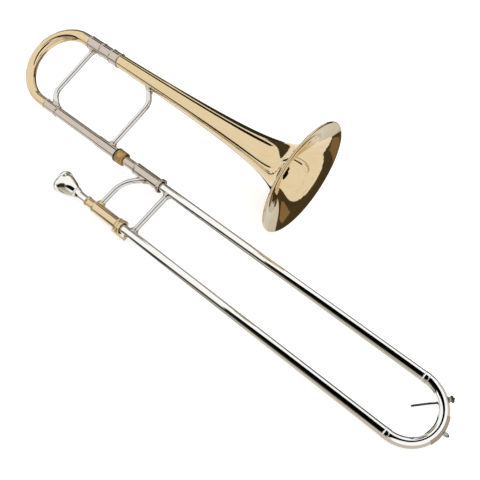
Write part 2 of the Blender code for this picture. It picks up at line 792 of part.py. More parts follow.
def make_outer_slide(frame, key_site):
    legs = (("lower", 0.0), ("upper", slide_spacing))
    for leg, height in legs:
        tube(
            f"{leg}_outer_tube", "chrome", frame, -slide_entry, outer_end,
            outer_radius, outer_bore_radius, (0.0, height, 0.0),
        )
        make_bow_ferrule(leg, frame, height)
    path = [(outer_brace_place, outer_radius, 0.0), (outer_brace_place, slide_spacing - outer_radius, 0.0)]
    hosts = []
    for (leg, height), point, heading in zip(legs, path, (math.pi / 2, -math.pi / 2)):
        host = host_cutter(f"{leg}_slide_line", frame, (point[0], height), flange_reach, outer_radius)
        saddle_flange(f"outer_brace_{leg}_flange", "nickel", frame, point, heading, height, host)
        hosts.append(host)
    brace("outer_brace", frame, path, hosts)

    stud_turn = (math.pi / 2 + lock_angle + lock_throw, 0.0, 0.0)
    top = finger_inner - fit_gap
    shoulder = outer_radius + stud_foot_rise
    profile = [
        (top, 0.0), (top, stud_radius), (shoulder, stud_radius), (shoulder, stud_foot_radius),
        (outer_radius / 2, stud_foot_radius), (outer_radius / 2, 0.0),
    ]
    stud = turned(
        "slide_lock_stud", "brass", frame, profile, (stud_place, 0.0, 0.0), stud_turn, bumper_steps,
        ring=False,
    )
    cut(stud, host_cutter("stud_line", frame, (stud_place, 0.0), flange_reach, outer_radius))

    clearance = bent_tube(
        "bow_clearance", None, frame, bow_path(), outer_radius + fit_gap, tube_steps,
    )
    make_slide_bow(frame, key_site, clearance)
    make_guard(frame)
    make_key_saddle(key_site, clearance)


def make_key_saddle(site, clearance):
    """The saddle under the bow, the screw that the water key turns on, and the spring that shuts it."""
    drop = -(pivot_depth + saddle_half_width)
    low = (-saddle_half_width, -saddle_outer_half, drop)
    high = (saddle_half_width, saddle_outer_half, -outer_radius / 2)
    saddle = block("water_key_saddle", "nickel", site, low, high)
    slot_low = (-overshoot * saddle_half_width, -saddle_inner_half, overshoot * drop)
    slot_high = (overshoot * saddle_half_width, saddle_inner_half, -(outer_radius + saddle_base))
    cut(saddle, block("saddle_slot", None, site, slot_low, slot_high))
    cut(saddle, clearance)
    pivot = (0.0, 0.0, -pivot_depth)
    reach = overshoot * saddle_outer_half
    holes = rod("saddle_holes", None, site, -reach, reach, pivot_bore_radius, pivot, along_y, screw_steps)
    cut(saddle, holes)

    head = saddle_outer_half + fit_gap
    profile = [
        (head + screw_head_length, 0.0), (head + screw_head_length, screw_head_radius),
        (head, screw_head_radius), (head, pivot_radius), (-head, pivot_radius), (-head, 0.0),
    ]
    turned("water_key_screw", "steel", site, profile, pivot, along_y, screw_steps, ring=False)
    make_spring(site, pivot)


def make_spring(site, pivot):
    """A double torsion spring: two coils round the hub, a bight on the lever and two legs on the saddle."""
    inner = key_wire_radius + fit_gap + 2 * spring_wire_radius
    count = spring_turns * coil_points
    leg_reach = saddle_half_width
    half = [(leg_reach, inner + spring_pitch * spring_turns, spring_radius + fit_gap)]
    for index in range(count + 1):
        angle = math.pi / 2 + 2 * math.pi * index / coil_points
        place = inner + spring_pitch * (spring_turns - index / coil_points)
        half.append((spring_radius * math.cos(angle), place, spring_radius * math.sin(angle)))
    half.append((-spring_bight_reach, inner, spring_radius))
    path = half + [(x, -y, z) for x, y, z in reversed(half)]
    least = least_self_gap(path, spring_wire_radius, coil_points // 2)
    print(f"water key spring: least gap between its turns {least * 1000:.2f} mm")
    bent_tube("water_key_spring", "steel", site, path, spring_wire_radius, wire_sides, place=pivot)


def least_self_gap(path, radius, skip):
    """The least distance between points of a wire that aren't neighbours, less the wire itself."""
    points = [Vector(point) for point in path]
    far = [
        (a - b).length for index, a in enumerate(points) for b in points[index + skip + 1:]
    ]
    return min(far) - 2 * radius


def make_water_key(frame):
    """The water key: a hub on the pivot, an arm to the cup outside the bow and a lever inside it."""
    key = rod(
        "water_key", "nickel", frame, -hub_half_length, hub_half_length, hub_radius,
        turn=along_y, steps=bumper_steps,
    )
    back = key_cup_back + key_wire_radius / 2
    side = outer_radius + fit_gap + 3 * key_wire_radius
    wire = [
        (back, 0.0, pivot_depth + key_wire_radius), (back, 0.0, pivot_depth - key_cup_radius),
        (back - key_wire_radius, 0.0, pivot_depth - key_cup_radius - 3 * key_wire_radius),
        (side, 0.0, key_wire_radius), (side / 2, 0.0, 0.0), (0.0, 0.0, 0.0),
        (-side / 2, 0.0, 0.0), (-side + key_wire_radius, 0.0, 2 * key_wire_radius),
        (-side - 2 * key_wire_radius, 0.0, pivot_depth - outer_radius),
        (-key_touch_reach, 0.0, pivot_depth - key_touch_depth),
        (-key_touch_reach - key_wire_radius, 0.0, pivot_depth - key_touch_depth),
    ]
    widths = [1.0] * (len(wire) - 2) + [key_touch_swell, key_touch_end]
    join(key, bent_tube("key_wire", None, frame, wire, key_wire_radius, wire_sides, widths=widths))
    grip = key_cork_end - key_cup_grip
    profile = [
        (key_cup_back, 0.0), (key_cup_back, key_cup_radius - edge_cut * 2),
        (key_cup_back - edge_cut * 2, key_cup_radius), (grip, key_cup_radius), (grip, key_cup_bore),
        (key_cork_end + fit_gap, key_cup_bore), (key_cork_end + fit_gap, 0.0),
    ]
    centre = (0.0, 0.0, pivot_depth)
    cup = turned("key_cup", None, frame, profile, centre, steps=fitting_steps, ring=False)
    join(key, cup)
    reach = overshoot * hub_half_length
    cut(key, rod("hub_bore", None, frame, -reach, reach, pivot_bore_radius, turn=along_y, steps=screw_steps))
    rod(
        "water_key_cork", "cork", frame, key_cork_start, key_cork_end, key_cork_radius, centre,
        steps=fitting_steps,
    )


def flare_radius(distance):
    """The bell's outer radius at a distance back from the rim."""
    return mouth_bore * ((distance + flare_start) / flare_start) ** -flare_power + bell_wall


def make_bell(frame):
    """The bell: a flare whose edge is rolled back round a wire."""
    slope = math.atan(flare_power * mouth_bore / flare_start)
    centre = (
        bell_rim_place - rim_roll_radius * math.sin(slope), mouth_bore + rim_roll_radius * math.cos(slope),
    )
    profile = []
    for index in range(rim_roll_steps, 0, -1):
        angle = slope + rim_roll_turn * index / rim_roll_steps
        profile.append((
            centre[0] + rim_roll_radius * math.sin(angle), centre[1] - rim_roll_radius * math.cos(angle),
        ))
    for index in range(bell_stations + 1):
        radius = mouth_bore * (throat_bore / mouth_bore) ** (index / bell_stations)
        distance = flare_start * ((mouth_bore / radius) ** (1 / flare_power) - 1)
        profile.append((bell_rim_place - distance, radius))
    place = (0.0, bell_spacing, 0.0)
    bell = turned("bell", "brass", frame, profile, place, steps=bell_steps, ring=False)
    wall = bell.modifiers.new("Wall", "SOLIDIFY")
    wall.thickness = bell_wall
    wall.offset = 1.0
    wall.use_even_offset = True

    wire = rim_roll_radius - bell_wall - fit_gap
    ring = []
    for index in range(wire_sides):
        angle = 2 * math.pi * index / wire_sides
        ring.append((centre[0] + wire * math.sin(-angle), centre[1] + wire * math.cos(angle)))
    turned("bell_rim_wire", "steel", frame, ring, place, steps=bell_steps)


def make_bell_receiver(frame):
    """The bell's half of the lock: a threaded nose, a flange and a socket for the neckpipe."""
    seat_bore = neck_radius + fit_gap
    profile = [
        (nose_end, receiver_nose_radius - edge_cut), (nose_end - edge_cut, receiver_nose_radius),
        (flange_front, receiver_nose_radius), (flange_front, receiver_flange_radius),
        (flange_back, receiver_flange_radius), (flange_back, bell_receiver_radius),
        (bell_receiver_end, bell_receiver_radius), (bell_receiver_end, seat_bore),
        (neck_end + fit_gap, seat_bore), (neck_end + fit_gap, tenon_end_radius + fit_gap),
        (tenon_end - fit_gap, tenon_end_radius + fit_gap), (nose_end, connector_radius + fit_gap),
    ]
    turned("bell_receiver", "nickel", frame, profile)
    ring = neck_radius + bead_rise * 2
    back = joint_plane + fit_gap
    profile = [
        (neck_end, neck_radius), (back + bead_length, neck_radius), (back + bead_length, ring),
        (back, ring), (back, neck_bore_radius), (neck_end, neck_bore_radius),
    ]
    turned("neckpipe", "nickel", frame, profile)


def make_bell_stem(frame):
    """The sleeve that takes the tuning slide's upper leg, and the ferrule that joins it to the bell."""
    place = (0.0, bell_spacing, 0.0)
    back = joint_plane + fit_gap
    front = stem_end - fit_gap
    ring = sleeve_radius + bead_rise * 2
    profile = [
        (front, sleeve_radius), (back + bead_length, sleeve_radius), (back + bead_length, ring),
        (back, ring), (back, sleeve_bore_radius), (front, sleeve_bore_radius),
    ]
    turned("tuning_sleeve", "nickel", frame, profile, place)
    beaded_sleeve(
        "bell_ferrule", "nickel", frame, bell_ferrule_start, bell_ferrule_start + bell_ferrule_length,
        bell_ferrule_bore + ferrule_wall, bell_ferrule_bore, bead_length, bead_rise, place,
    )


def make_front_brace(frame):
    """The brace from the bell receiver up to the underside of the bell."""
    foot = (bell_receiver_end + front_brace_place, bell_receiver_radius)
    heading = math.pi / 2 - front_brace_lean
    top_place = foot[0] - front_brace_tail / 2
    end_height = bell_spacing - flare_radius(bell_rim_place - top_place)
    path, last = brace_path(
        foot, heading, front_brace_bend, front_brace_turn, front_brace_tail, end_height,
    )
    low = host_cutter("bell_receiver_line", frame, (foot[0], 0.0), flange_reach, bell_receiver_radius)
    back_radius = flare_radius(bell_rim_place - path[-1][0] + flange_reach)
    front_radius = flare_radius(bell_rim_place - path[-1][0] - flange_reach)
    top = host_cutter(
        "bell_line", frame, (path[-1][0], bell_spacing), flange_reach, back_radius, front_radius,
    )
    saddle_flange("front_brace_lower_flange", "nickel", frame, path[0], heading, 0.0, low)
    saddle_flange("front_brace_upper_flange", "nickel", frame, path[-1], last + math.pi, bell_spacing, top)
    brace("front_brace", frame, path, [low, top])


def make_bell_section(frame):
    make_bell_receiver(frame)
    make_bell_stem(frame)
    make_bell(frame)
    make_front_brace(frame)


def make_tuning_bow(frame):
    """The hollow bow, which widens from the neckpipe's side to the bell's."""
    radius = bell_spacing / 2
    centre = (tuning_bow_centre, radius)
    curve = arc(centre, radius, 1.5 * math.pi, 0.5 * math.pi, tuning_bow_points)
    path = [(tuning_bow_end, 0.0, 0.0)] + curve + [(tuning_bow_end, bell_spacing, 0.0)]
    travelled = [0.0]
    for before, after in zip(path, path[1:]):
        travelled.append(travelled[-1] + math.dist(before, after))
    growth = lower_bow_radius / upper_bow_radius
    widths = [growth + (1 - growth) * run / travelled[-1] for run in travelled]
    bent_tube("tuning_bow", "brass", frame, path, upper_bow_radius, bow_sides, tuning_bow_wall, widths)


def make_tuning_slide(frame):
    legs = (
        ("lower", 0.0, lower_socket_radius, lower_leg_radius, lower_leg_length),
        ("upper", bell_spacing, upper_socket_radius, upper_leg_radius, upper_leg_length),
    )
    make_tuning_bow(frame)
    for leg, height, socket, leg_radius, length in legs:
        place = (0.0, height, 0.0)
        beaded_sleeve(
            f"{leg}_tuning_ferrule", "nickel", frame, tuning_ferrule_start, tuning_ferrule_end,
            socket + ferrule_wall, socket, bead_length, bead_rise, place, front_bead=False,
        )
        tube(
            f"{leg}_tuning_leg", "nickel", frame, tuning_leg_start, tuning_leg_start + length,
            leg_radius, leg_radius - leg_wall, place,
        )
    foot = (tuning_ferrule_end - rear_brace_place, bell_spacing - upper_ferrule_radius)
    heading = 1.5 * math.pi - rear_brace_lean
    path, last = brace_path(
        foot, heading, rear_brace_bend, rear_brace_turn, rear_brace_tail, lower_ferrule_radius,
    )
    top = host_cutter(
        "upper_ferrule_line", frame, (foot[0], bell_spacing), flange_reach, upper_ferrule_radius,
    )
    low = host_cutter("lower_ferrule_line", frame, (path[-1][0], 0.0), flange_reach, lower_ferrule_radius)
    saddle_flange("rear_brace_upper_flange", "nickel", frame, path[0], heading, bell_spacing, top)
    saddle_flange("rear_brace_lower_flange", "nickel", frame, path[-1], last + math.pi, 0.0, low)
    brace("rear_brace", frame, path, [top, low])


def settle_meshes():
    """Keep each piece's finished shape as its mesh, smooth except across its sharp edges."""
    bpy.context.view_layer.update()
    depsgraph = bpy.context.evaluated_depsgraph_get()
    finished = []
    for item in parts.objects:
        if item.type == "MESH":
            finished.append((item, bpy.data.meshes.new_from_object(item.evaluated_get(depsgraph))))
    for item, mesh in finished:
        item.modifiers.clear()
        item.data = mesh
        mesh.name = item.name
        mesh.shade_smooth()
        mesh.set_sharp_from_angle(angle=math.radians(35.0))


def world_points(item):
    return [item.matrix_world @ vertex.co for vertex in item.data.vertices]


def rest_on_table(root, supports):
    """Roll and tip the instrument until its three supports touch the table, then centre it."""
    for _ in range(12):
        bpy.context.view_layer.update()
        a, b, c = [min(world_points(item), key=lambda point: point.z) for item in supports]
        normal = (b - a).cross(c - a)
        if normal.z < 0:
            normal.negate()
        turn = normal.rotation_difference(Vector((0.0, 0.0, 1.0))).to_matrix().to_4x4()
        root.matrix_world = turn @ root.matrix_world
    bpy.context.view_layer.update()
    points = [point for item in parts.objects if item.type == "MESH" for point in world_points(item)]
    lows = [min(point[axis] for point in points) for axis in range(3)]
    highs = [max(point[axis] for point in points) for axis in range(3)]
    root.location -= Vector(((lows[0] + highs[0]) / 2, (lows[1] + highs[1]) / 2, lows[2]))
    bpy.context.view_layer.update()


clear_scene()
parts = add_collection("alto_trombone")
cutters = add_collection("cutters")

trombone = add_frame("trombone_frame")
inner_slide = add_frame("inner_slide_frame", trombone)
mouthpiece_line = add_frame("mouthpiece_frame", trombone)
slide_lock_line = add_frame("slide_lock_frame", trombone, turn=(lock_angle, 0.0, 0.0))
nut_line = add_frame("lock_nut_frame", trombone, (0.0, slide_spacing, 0.0))
outer_slide = add_frame("hand_slide_frame", trombone)
bell_section = add_frame("bell_section_frame", trombone, (0.0, slide_spacing, 0.0), (bell_turn, 0.0, 0.0))
tuning_slide = add_frame("tuning_slide_frame", bell_section)
key_place = (
    slide_reach + bow_radius * math.cos(key_angle), bow_radius + bow_radius * math.sin(key_angle), 0.0,
)
key_site = add_frame("water_key_site", outer_slide, key_place, (0.0, 0.0, key_angle))
key_line = add_frame("water_key_frame", key_site, (0.0, 0.0, -pivot_depth))

make_inner_slide(inner_slide)
make_mouthpiece(mouthpiece_line)
make_slide_lock(slide_lock_line)
make_lock_nut(nut_line)
make_outer_slide(outer_slide, key_site)
make_water_key(key_line)
make_bell_section(bell_section)
make_tuning_slide(tuning_slide)
settle_meshes()
rest_on_table(trombone, [bpy.data.objects[name] for name in ("mouthpiece", "lower_bow_ferrule", "bell")])
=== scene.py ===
import json
import bmesh
import bpy
from math import atan, atan2, ceil, copysign, cos, degrees, hypot, pi, radians, sin, sqrt
from mathutils import Matrix, Vector


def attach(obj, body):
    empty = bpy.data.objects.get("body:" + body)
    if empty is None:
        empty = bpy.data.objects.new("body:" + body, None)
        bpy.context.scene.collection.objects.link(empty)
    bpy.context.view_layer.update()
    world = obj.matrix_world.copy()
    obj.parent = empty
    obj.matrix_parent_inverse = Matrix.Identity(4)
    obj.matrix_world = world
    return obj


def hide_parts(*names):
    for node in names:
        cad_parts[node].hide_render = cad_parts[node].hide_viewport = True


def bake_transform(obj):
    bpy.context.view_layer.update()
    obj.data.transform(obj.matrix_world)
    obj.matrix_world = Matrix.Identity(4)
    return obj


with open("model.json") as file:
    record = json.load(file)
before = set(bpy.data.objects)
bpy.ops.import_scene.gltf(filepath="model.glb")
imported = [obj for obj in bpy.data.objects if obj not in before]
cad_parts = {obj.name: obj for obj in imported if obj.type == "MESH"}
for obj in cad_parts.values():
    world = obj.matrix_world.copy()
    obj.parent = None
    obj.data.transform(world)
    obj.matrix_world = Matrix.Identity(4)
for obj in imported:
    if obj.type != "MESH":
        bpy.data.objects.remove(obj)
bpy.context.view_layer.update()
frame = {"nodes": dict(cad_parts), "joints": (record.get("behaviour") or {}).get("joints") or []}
joints = {joint["name"]: joint for joint in frame["joints"]}
print("frame loaded:", len(frame["nodes"]), "nodes")


# Pieces are modelled in millimetres, x along the slide, and then laid where the instrument lies
def layFrame(origin, along, across):
    x = along.normalized()
    z = x.cross(across).normalized()
    turn = Matrix((x, z.cross(x), z)).transposed().to_4x4()
    return Matrix.Translation(origin) @ turn @ Matrix.Scale(0.001, 4)


alongSlide = Vector(joints["hand_slide_travel"]["axis"])
slideOrigin = Vector(joints["slide_lock_turn"]["pos_m"])
bellOrigin = Vector(joints["bell_swivel"]["pos_m"])
acrossSlide = bellOrigin - slideOrigin
bellTurn = radians(-joints["bell_swivel"]["range_deg"][0])
slideFrame = layFrame(slideOrigin, alongSlide, acrossSlide)
bellFrame = layFrame(bellOrigin, alongSlide, Matrix.Rotation(bellTurn, 3, alongSlide) @ acrossSlide)
keyAxis = Vector(joints["water_key_swing"]["axis"])
keyOut = keyAxis.cross(slideFrame.col[2].to_3d())
keyFrame = layFrame(Vector(joints["water_key_swing"]["pos_m"]), keyOut, keyAxis)
alongY = Matrix.Rotation(radians(90), 4, "Z")


def newMaterial(name):
    material = bpy.data.materials.new(name)
    material.use_nodes = True
    tree = material.node_tree
    return material, tree, tree.nodes["Principled BSDF"]


def plug(tree, node, inputs):
    # each input takes a socket or a plain value
    for key, value in inputs.items():
        if isinstance(value, bpy.types.NodeSocket):
            tree.links.new(value, node.inputs[key])
        else:
            node.inputs[key].default_value = value


def addNode(tree, kind, inputs, **settings):
    node = tree.nodes.new(kind)
    for key, value in settings.items():
        setattr(node, key, value)
    plug(tree, node, inputs)
    return node


def mixNode(tree, factor, low, high):
    # low is a colour or a socket, high a colour
    first = (*low, 1.0) if isinstance(low, tuple) else low
    inputs = {"Factor": factor, "A": first, "B": (*high, 1.0)}
    return addNode(tree, "ShaderNodeMix", inputs, data_type="RGBA").outputs["Result"]


def inFrame(tree, matrix, period, source="Object"):
    # coordinates turned into the piece's own straight frame, with a period along each axis
    place, turn, _ = matrix.decompose()
    vector = addNode(tree, "ShaderNodeTexCoord", {}).outputs[source]
    inputs = {"Vector": vector, "Location": place, "Rotation": turn.to_euler(), "Scale": period}
    return addNode(tree, "ShaderNodeMapping", inputs, vector_type="TEXTURE").outputs["Vector"]


def noise(tree, straight, period, detail):
    inputs = {"Vector": inFrame(tree, straight, period), "Scale": 1.0, "Detail": detail}
    return addNode(tree, "ShaderNodeTexNoise", inputs).outputs["Fac"]


def bump(tree, height, strength, distance):
    inputs = {"Height": height, "Strength": strength, "Distance": distance}
    return addNode(tree, "ShaderNodeBump", inputs).outputs["Normal"]


finishes = {  # colour, its deeper tint, roughness from and to, coat and grain
    "lacqueredBrass": ((0.72, 0.575, 0.37), (0.68, 0.52, 0.28), (0.025, 0.05), 0.35, 0.010),
    "goldNut": ((0.52, 0.35, 0.15), (0.43, 0.27, 0.09), (0.16, 0.24), 0.25, 0.03),
    "nickelSilver": ((0.585, 0.515, 0.455), (0.53, 0.46, 0.385), (0.025, 0.055), 0.2, 0.012),
    "brightChrome": ((0.87, 0.865, 0.85), (0.84, 0.83, 0.80), (0.015, 0.035), 0.0, 0.006),
    "silverPlate": ((0.89, 0.885, 0.87), (0.83, 0.80, 0.74), (0.04, 0.08), 0.0, 0.008),
    "satinChrome": ((0.73, 0.715, 0.69), (0.67, 0.655, 0.625), (0.02, 0.04), 0.0, 0.006),
    # near black: used on the bell receiver's flange, and on the water key lever as a painted dark reflection,
    # the lever itself being chrome
    "darkSteelAndPaintedReflection": ((0.075, 0.07, 0.062), (0.04, 0.037, 0.032), (0.12, 0.2), 0.0, 0.02),
    # grey steel: the spring, screw and rim wire, and on the bumper holder a painted dark reflection, the
    # holder itself being chrome
    "springSteelAndPaintedReflection": ((0.52, 0.52, 0.53), (0.42, 0.42, 0.44), (0.2, 0.3), 0.0, 0.02),
}


def metal(name, straight=None):
    # polished metal: slow tint changes, uneven gloss and faint drawing marks along the tube
    pattern = {"tint": (0.05, 0.02, 0.02), "marks": (0.03, 0.0006, 0.0006), "depth": 0.0004, "coat": 0.02}
    colour, deep, (glossy, dull), coat, grain = finishes[name]
    straight = straight or slideFrame
    label = name if straight is slideFrame else name + "Bell"
    if label in bpy.data.materials:
        return bpy.data.materials[label]
    material, tree, shader = newMaterial(label)
    marks = noise(tree, straight, pattern["marks"], 2.0)
    gloss = addNode(tree, "ShaderNodeMapRange", {"Value": marks, "To Min": glossy, "To Max": dull})
    plug(tree, shader, {
        "Base Color": mixNode(tree, noise(tree, straight, pattern["tint"], 3.0), colour, deep),
        "Roughness": gloss.outputs["Result"], "Normal": bump(tree, marks, grain, pattern["depth"]),
        "Metallic": 1.0, "Coat Weight": coat, "Coat Roughness": pattern["coat"],
    })
    return material


def corkMaterial():
    grains = {"size": 0.001, "depth": 0.0003, "colours": ((0.26, 0.13, 0.06, 1.0), (0.62, 0.42, 0.24, 1.0))}
    material, tree, shader = newMaterial("cork")
    vector = inFrame(tree, slideFrame, [grains["size"]] * 3)
    cells = addNode(tree, "ShaderNodeTexVoronoi", {"Vector": vector, "Scale": 1.0}).outputs["Distance"]
    ramp = addNode(tree, "ShaderNodeValToRGB", {"Fac": cells})
    for element, colour in zip(ramp.color_ramp.elements, grains["colours"]):
        element.color = colour
    plug(tree, shader, {"Base Color": ramp.outputs["Color"], "Roughness": 0.9,
                        "Normal": bump(tree, cells, 0.5, grains["depth"])})
    return material


def rubberMaterial():
    grains = {"size": 0.0004, "depth": 0.0002, "dark": (0.012, 0.012, 0.013), "light": (0.04, 0.04, 0.042)}
    material, tree, shader = newMaterial("rubber")
    speckle = noise(tree, slideFrame, [grains["size"]] * 3, 4.0)
    plug(tree, shader, {"Base Color": mixNode(tree, speckle, grains["dark"], grains["light"]),
                        "Normal": bump(tree, speckle, 0.4, grains["depth"]), "Roughness": 0.62})
    return material


cork = corkMaterial()
rubber = rubberMaterial()
print("materials made")

mergeDistance = 0.0004


def held(profile, reach=0.4):
    # extra points by the ends of long runs, so that the shading stays straight along them
    points = profile[:1]
    for (x0, y0), (x1, y1) in zip(profile, profile[1:]):
        share = reach / max(hypot(x1 - x0, y1 - y0), 0.001)
        if share < 0.2:
            points.append((x0 + (x1 - x0) * share, y0 + (y1 - y0) * share))
            points.append((x1 - (x1 - x0) * share, y1 - (y1 - y0) * share))
        points.append((x1, y1))
    return points


def turned(profile, loop=True, steps=72):
    # a profile of (place along the axis, radius) in mm, spun about the axis
    bm = bmesh.new()
    points = [bm.verts.new((place, radius, 0.0)) for place, radius in held(profile)]
    edges = [bm.edges.new(pair) for pair in zip(points, points[1:])]
    if loop:
        edges.append(bm.edges.new((points[-1], points[0])))
    bmesh.ops.spin(bm, geom=points + edges, axis=(1, 0, 0), angle=2 * pi, steps=steps, use_merge=True)
    bmesh.ops.remove_doubles(bm, verts=bm.verts, dist=mergeDistance)
    return bm


def pipe(start, end, outer, bore):
    return turned([(end, outer), (start, outer), (start, bore), (end, bore)])


def only(kind, items):
    return [item for item in items if isinstance(item, kind)]


def bent(start, heading, radius, moves, sides=40):
    # a round tube in the frame's plane: each move is (length,) or (bend radius, turn)
    bm = bmesh.new()
    ring = bmesh.ops.create_circle(bm, segments=sides, radius=radius)["verts"]
    turn = Matrix.Rotation(heading, 4, "Z") @ Matrix.Rotation(radians(90), 4, "Y")
    bmesh.ops.transform(bm, matrix=Matrix.Translation(start) @ turn, verts=ring)
    edges = list(bm.edges)
    at = Vector(start)
    for move in moves:
        ahead = Vector((cos(heading), sin(heading), 0.0))
        if len(move) == 1:
            made = bmesh.ops.extrude_edge_only(bm, edges=edges)["geom"]
            ring = only(bmesh.types.BMVert, made)
            edges = [edge for edge in only(bmesh.types.BMEdge, made) if set(edge.verts) <= set(ring)]
            at += ahead * move[0]
            bmesh.ops.translate(bm, vec=ahead * move[0], verts=ring)
        else:
            bend, angle = move
            side = Vector((-ahead.y, ahead.x, 0.0)) * copysign(bend, angle)
            centre = at + side
            steps = max(6, ceil(abs(degrees(angle)) / 3))
            last = bmesh.ops.spin(bm, geom=ring + edges, cent=centre, axis=(0, 0, 1), angle=angle,
                                  steps=steps)["geom_last"]
            ring = only(bmesh.types.BMVert, last)
            edges = only(bmesh.types.BMEdge, last)
            heading += angle
            at = centre + Matrix.Rotation(angle, 3, "Z") @ -side
    return bm


def wire(name, points, radius, widths=None, sides=10, smooth=True):
    # a round wire through points, as a mesh
    curve = bpy.data.curves.new(name, "CURVE")
    curve.dimensions = "3D"
    curve.bevel_depth = radius
    curve.bevel_resolution = sides // 2 - 2
    curve.use_fill_caps = True
    curve.resolution_u = 8
    spline = curve.splines.new("NURBS" if smooth else "POLY")
    spline.points.add(len(points) - 1)
    for index, point in enumerate(points):
        spline.points[index].co = (*point, 1.0)
        spline.points[index].radius = widths[index] if widths else 1.0
    if smooth:
        spline.order_u = 3
        spline.use_endpoint_u = True
    item = bpy.data.objects.new(name, curve)
    bpy.context.scene.collection.objects.link(item)
    bpy.context.view_layer.update()
    mesh = bpy.data.meshes.new_from_object(item.evaluated_get(bpy.context.evaluated_depsgraph_get()))
    bpy.data.objects.remove(item)
    bm = bmesh.new()
    bm.from_mesh(mesh)
    bpy.data.meshes.remove(mesh)
    bmesh.ops.remove_doubles(bm, verts=bm.verts, dist=mergeDistance)
    return bm


def gather(shapes):
    # several shapes as one mesh
    whole = bmesh.new()
    for shape in shapes:
        mesh = bpy.data.meshes.new("shape")
        shape.to_mesh(mesh)
        shape.free()
        whole.from_mesh(mesh)
        bpy.data.meshes.remove(mesh)
    return whole


def softenEdges(bm, width, segments=2, angle=30):
    sharp = [edge for edge in bm.edges if edge.is_manifold and edge.calc_face_angle() > radians(angle)]
    bmesh.ops.bevel(bm, geom=sharp, offset=width, offset_type="OFFSET", segments=segments, profile=0.5,
                    affect="EDGES", clamp_overlap=True, material=-1)


def addObject(name, bm, material):
    mesh = bpy.data.meshes.new(name)
    bm.to_mesh(mesh)
    bm.free()
    mesh.materials.append(material)
    made = bpy.data.objects.new(name, mesh)
    bpy.context.scene.collection.objects.link(made)
    return made


def addPiece(name, bm, body, finish, node, at=(0.0, 0.0, 0.0), turn=None, straight=None, soft=0.0,
             crease=40):
    # finish is a material, or a metal by name; a piece that bends between two bodies has no body here
    bmesh.ops.recalc_face_normals(bm, faces=bm.faces)
    if soft:
        softenEdges(bm, soft)
    local = Matrix.Translation(at) @ (turn or Matrix.Identity(4))
    bmesh.ops.transform(bm, matrix=(straight or slideFrame) @ local, verts=bm.verts)
    if isinstance(finish, str):
        finish = metal(finish, bellFrame if straight is bellFrame else slideFrame)
    piece = addObject(name, bm, finish)
    piece.data.shade_smooth()
    piece.data.set_sharp_from_angle(angle=radians(crease))
    if body:
        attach(piece, body)
    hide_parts(node)
    return piece


# Sizes that several pieces share, in mm
slide = {
    "spacing": 85.0, "innerRadius": 6.15, "stockingRadius": 6.35, "stockingLength": 95.0, "bore": 5.8,
    "outerRadius": 6.95, "outerBore": 6.65, "entry": 29.0, "reach": 455.5, "innerEnd": 443.5,
    "outerEnd": 452.5, "socket": 6.45, "barrelRadius": 9.2, "bowRadius": 42.5, "braceRadius": 4.3,
}
legs = (("lower", 0.0), ("upper", slide["spacing"]))


def pick(sizes, names):
    # several sizes at once, by their names
    return [sizes[name] for name in names.split()]


def buildBarrels():
    barrel = {"bore": 8.5, "ring": 11.6, "ringLength": 4.5, "floor": 3.0, "bead": 0.35}
    # length, radius of the hole in the end, and finish
    ends = {"lower": (60.0, 7.6, "lacqueredBrass"), "upper": (54.0, 7.8, "nickelSilver")}
    ring, radius, bore, back = barrel["ring"], slide["barrelRadius"], barrel["bore"], -barrel["ringLength"]
    bead = radius + barrel["bead"]
    for leg, height in legs:
        length, hole, finish = ends[leg]
        end, floor = -length, -length + barrel["floor"]
        profile = [
            (0.0, ring - 0.5), (-0.6, ring), (back + 1.5, ring), (back + 1.2, ring - 0.6),
            (back + 0.8, ring - 0.6), (back + 0.5, ring - 0.2), (back, ring - 0.4), (back, radius),
            (end + 2.2, radius), (end + 1.4, bead), (end + 0.6, bead), (end, radius - 0.4), (end, hole),
            (floor, hole), (floor, bore), (-1.0, bore), (0.0, ring - 2.4),
        ]
        addPiece(leg + "Barrel", turned(profile), "inner_slide", finish, leg + "_cork_barrel",
                 at=(0.0, height, 0.0), soft=0.15)
        frame["nodes"][leg + "_barrel_cork"].data.materials[0] = cork


def buildInnerTubes():
    seats = {"lower": -56.9, "upper": -50.7}
    end, inner, wide, bore = slide["innerEnd"], slide["innerRadius"], slide["stockingRadius"], slide["bore"]
    stocking = end - slide["stockingLength"]
    for leg, height in legs:
        seat = seats[leg]
        profile = [(end, wide - 0.1), (end - 0.6, wide), (stocking, wide), (stocking - 1.0, inner),
                   (seat, inner), (seat, bore), (end, bore)]
        addPiece(leg + "InnerTube", turned(profile), "inner_slide", "brightChrome", leg + "_inner_tube",
                 at=(0.0, height, 0.0))


def buildReceiver():
    receiver = {"mouth": -76.5, "front": -49.2, "radius": 7.3, "lip": 8.1, "lipLength": 2.5, "bore": 6.3,
                "taperEnd": -58.2, "taper": 5.7, "seatEnd": -57.2, "seat": 5.0}
    mouth, front, radius, lip, seat = pick(receiver, "mouth front radius lip seat")
    lipEnd, taperEnd, seatEnd = mouth + receiver["lipLength"], receiver["taperEnd"], receiver["seatEnd"]
    profile = [
        (front, radius), (lipEnd + 1.2, radius), (lipEnd, lip - 0.1), (lipEnd - 0.5, lip), (mouth + 0.4, lip),
        (mouth, lip - 0.4), (mouth, receiver["bore"]), (taperEnd, receiver["taper"]), (taperEnd, seat),
        (seatEnd, seat), (seatEnd, slide["socket"]), (front, slide["socket"]),
    ]
    addPiece("mouthpieceReceiver", turned(profile), "inner_slide", "lacqueredBrass", "mouthpiece_receiver",
             soft=0.12)
    frame["nodes"]["leadpipe"].data.materials[0] = metal("lacqueredBrass")


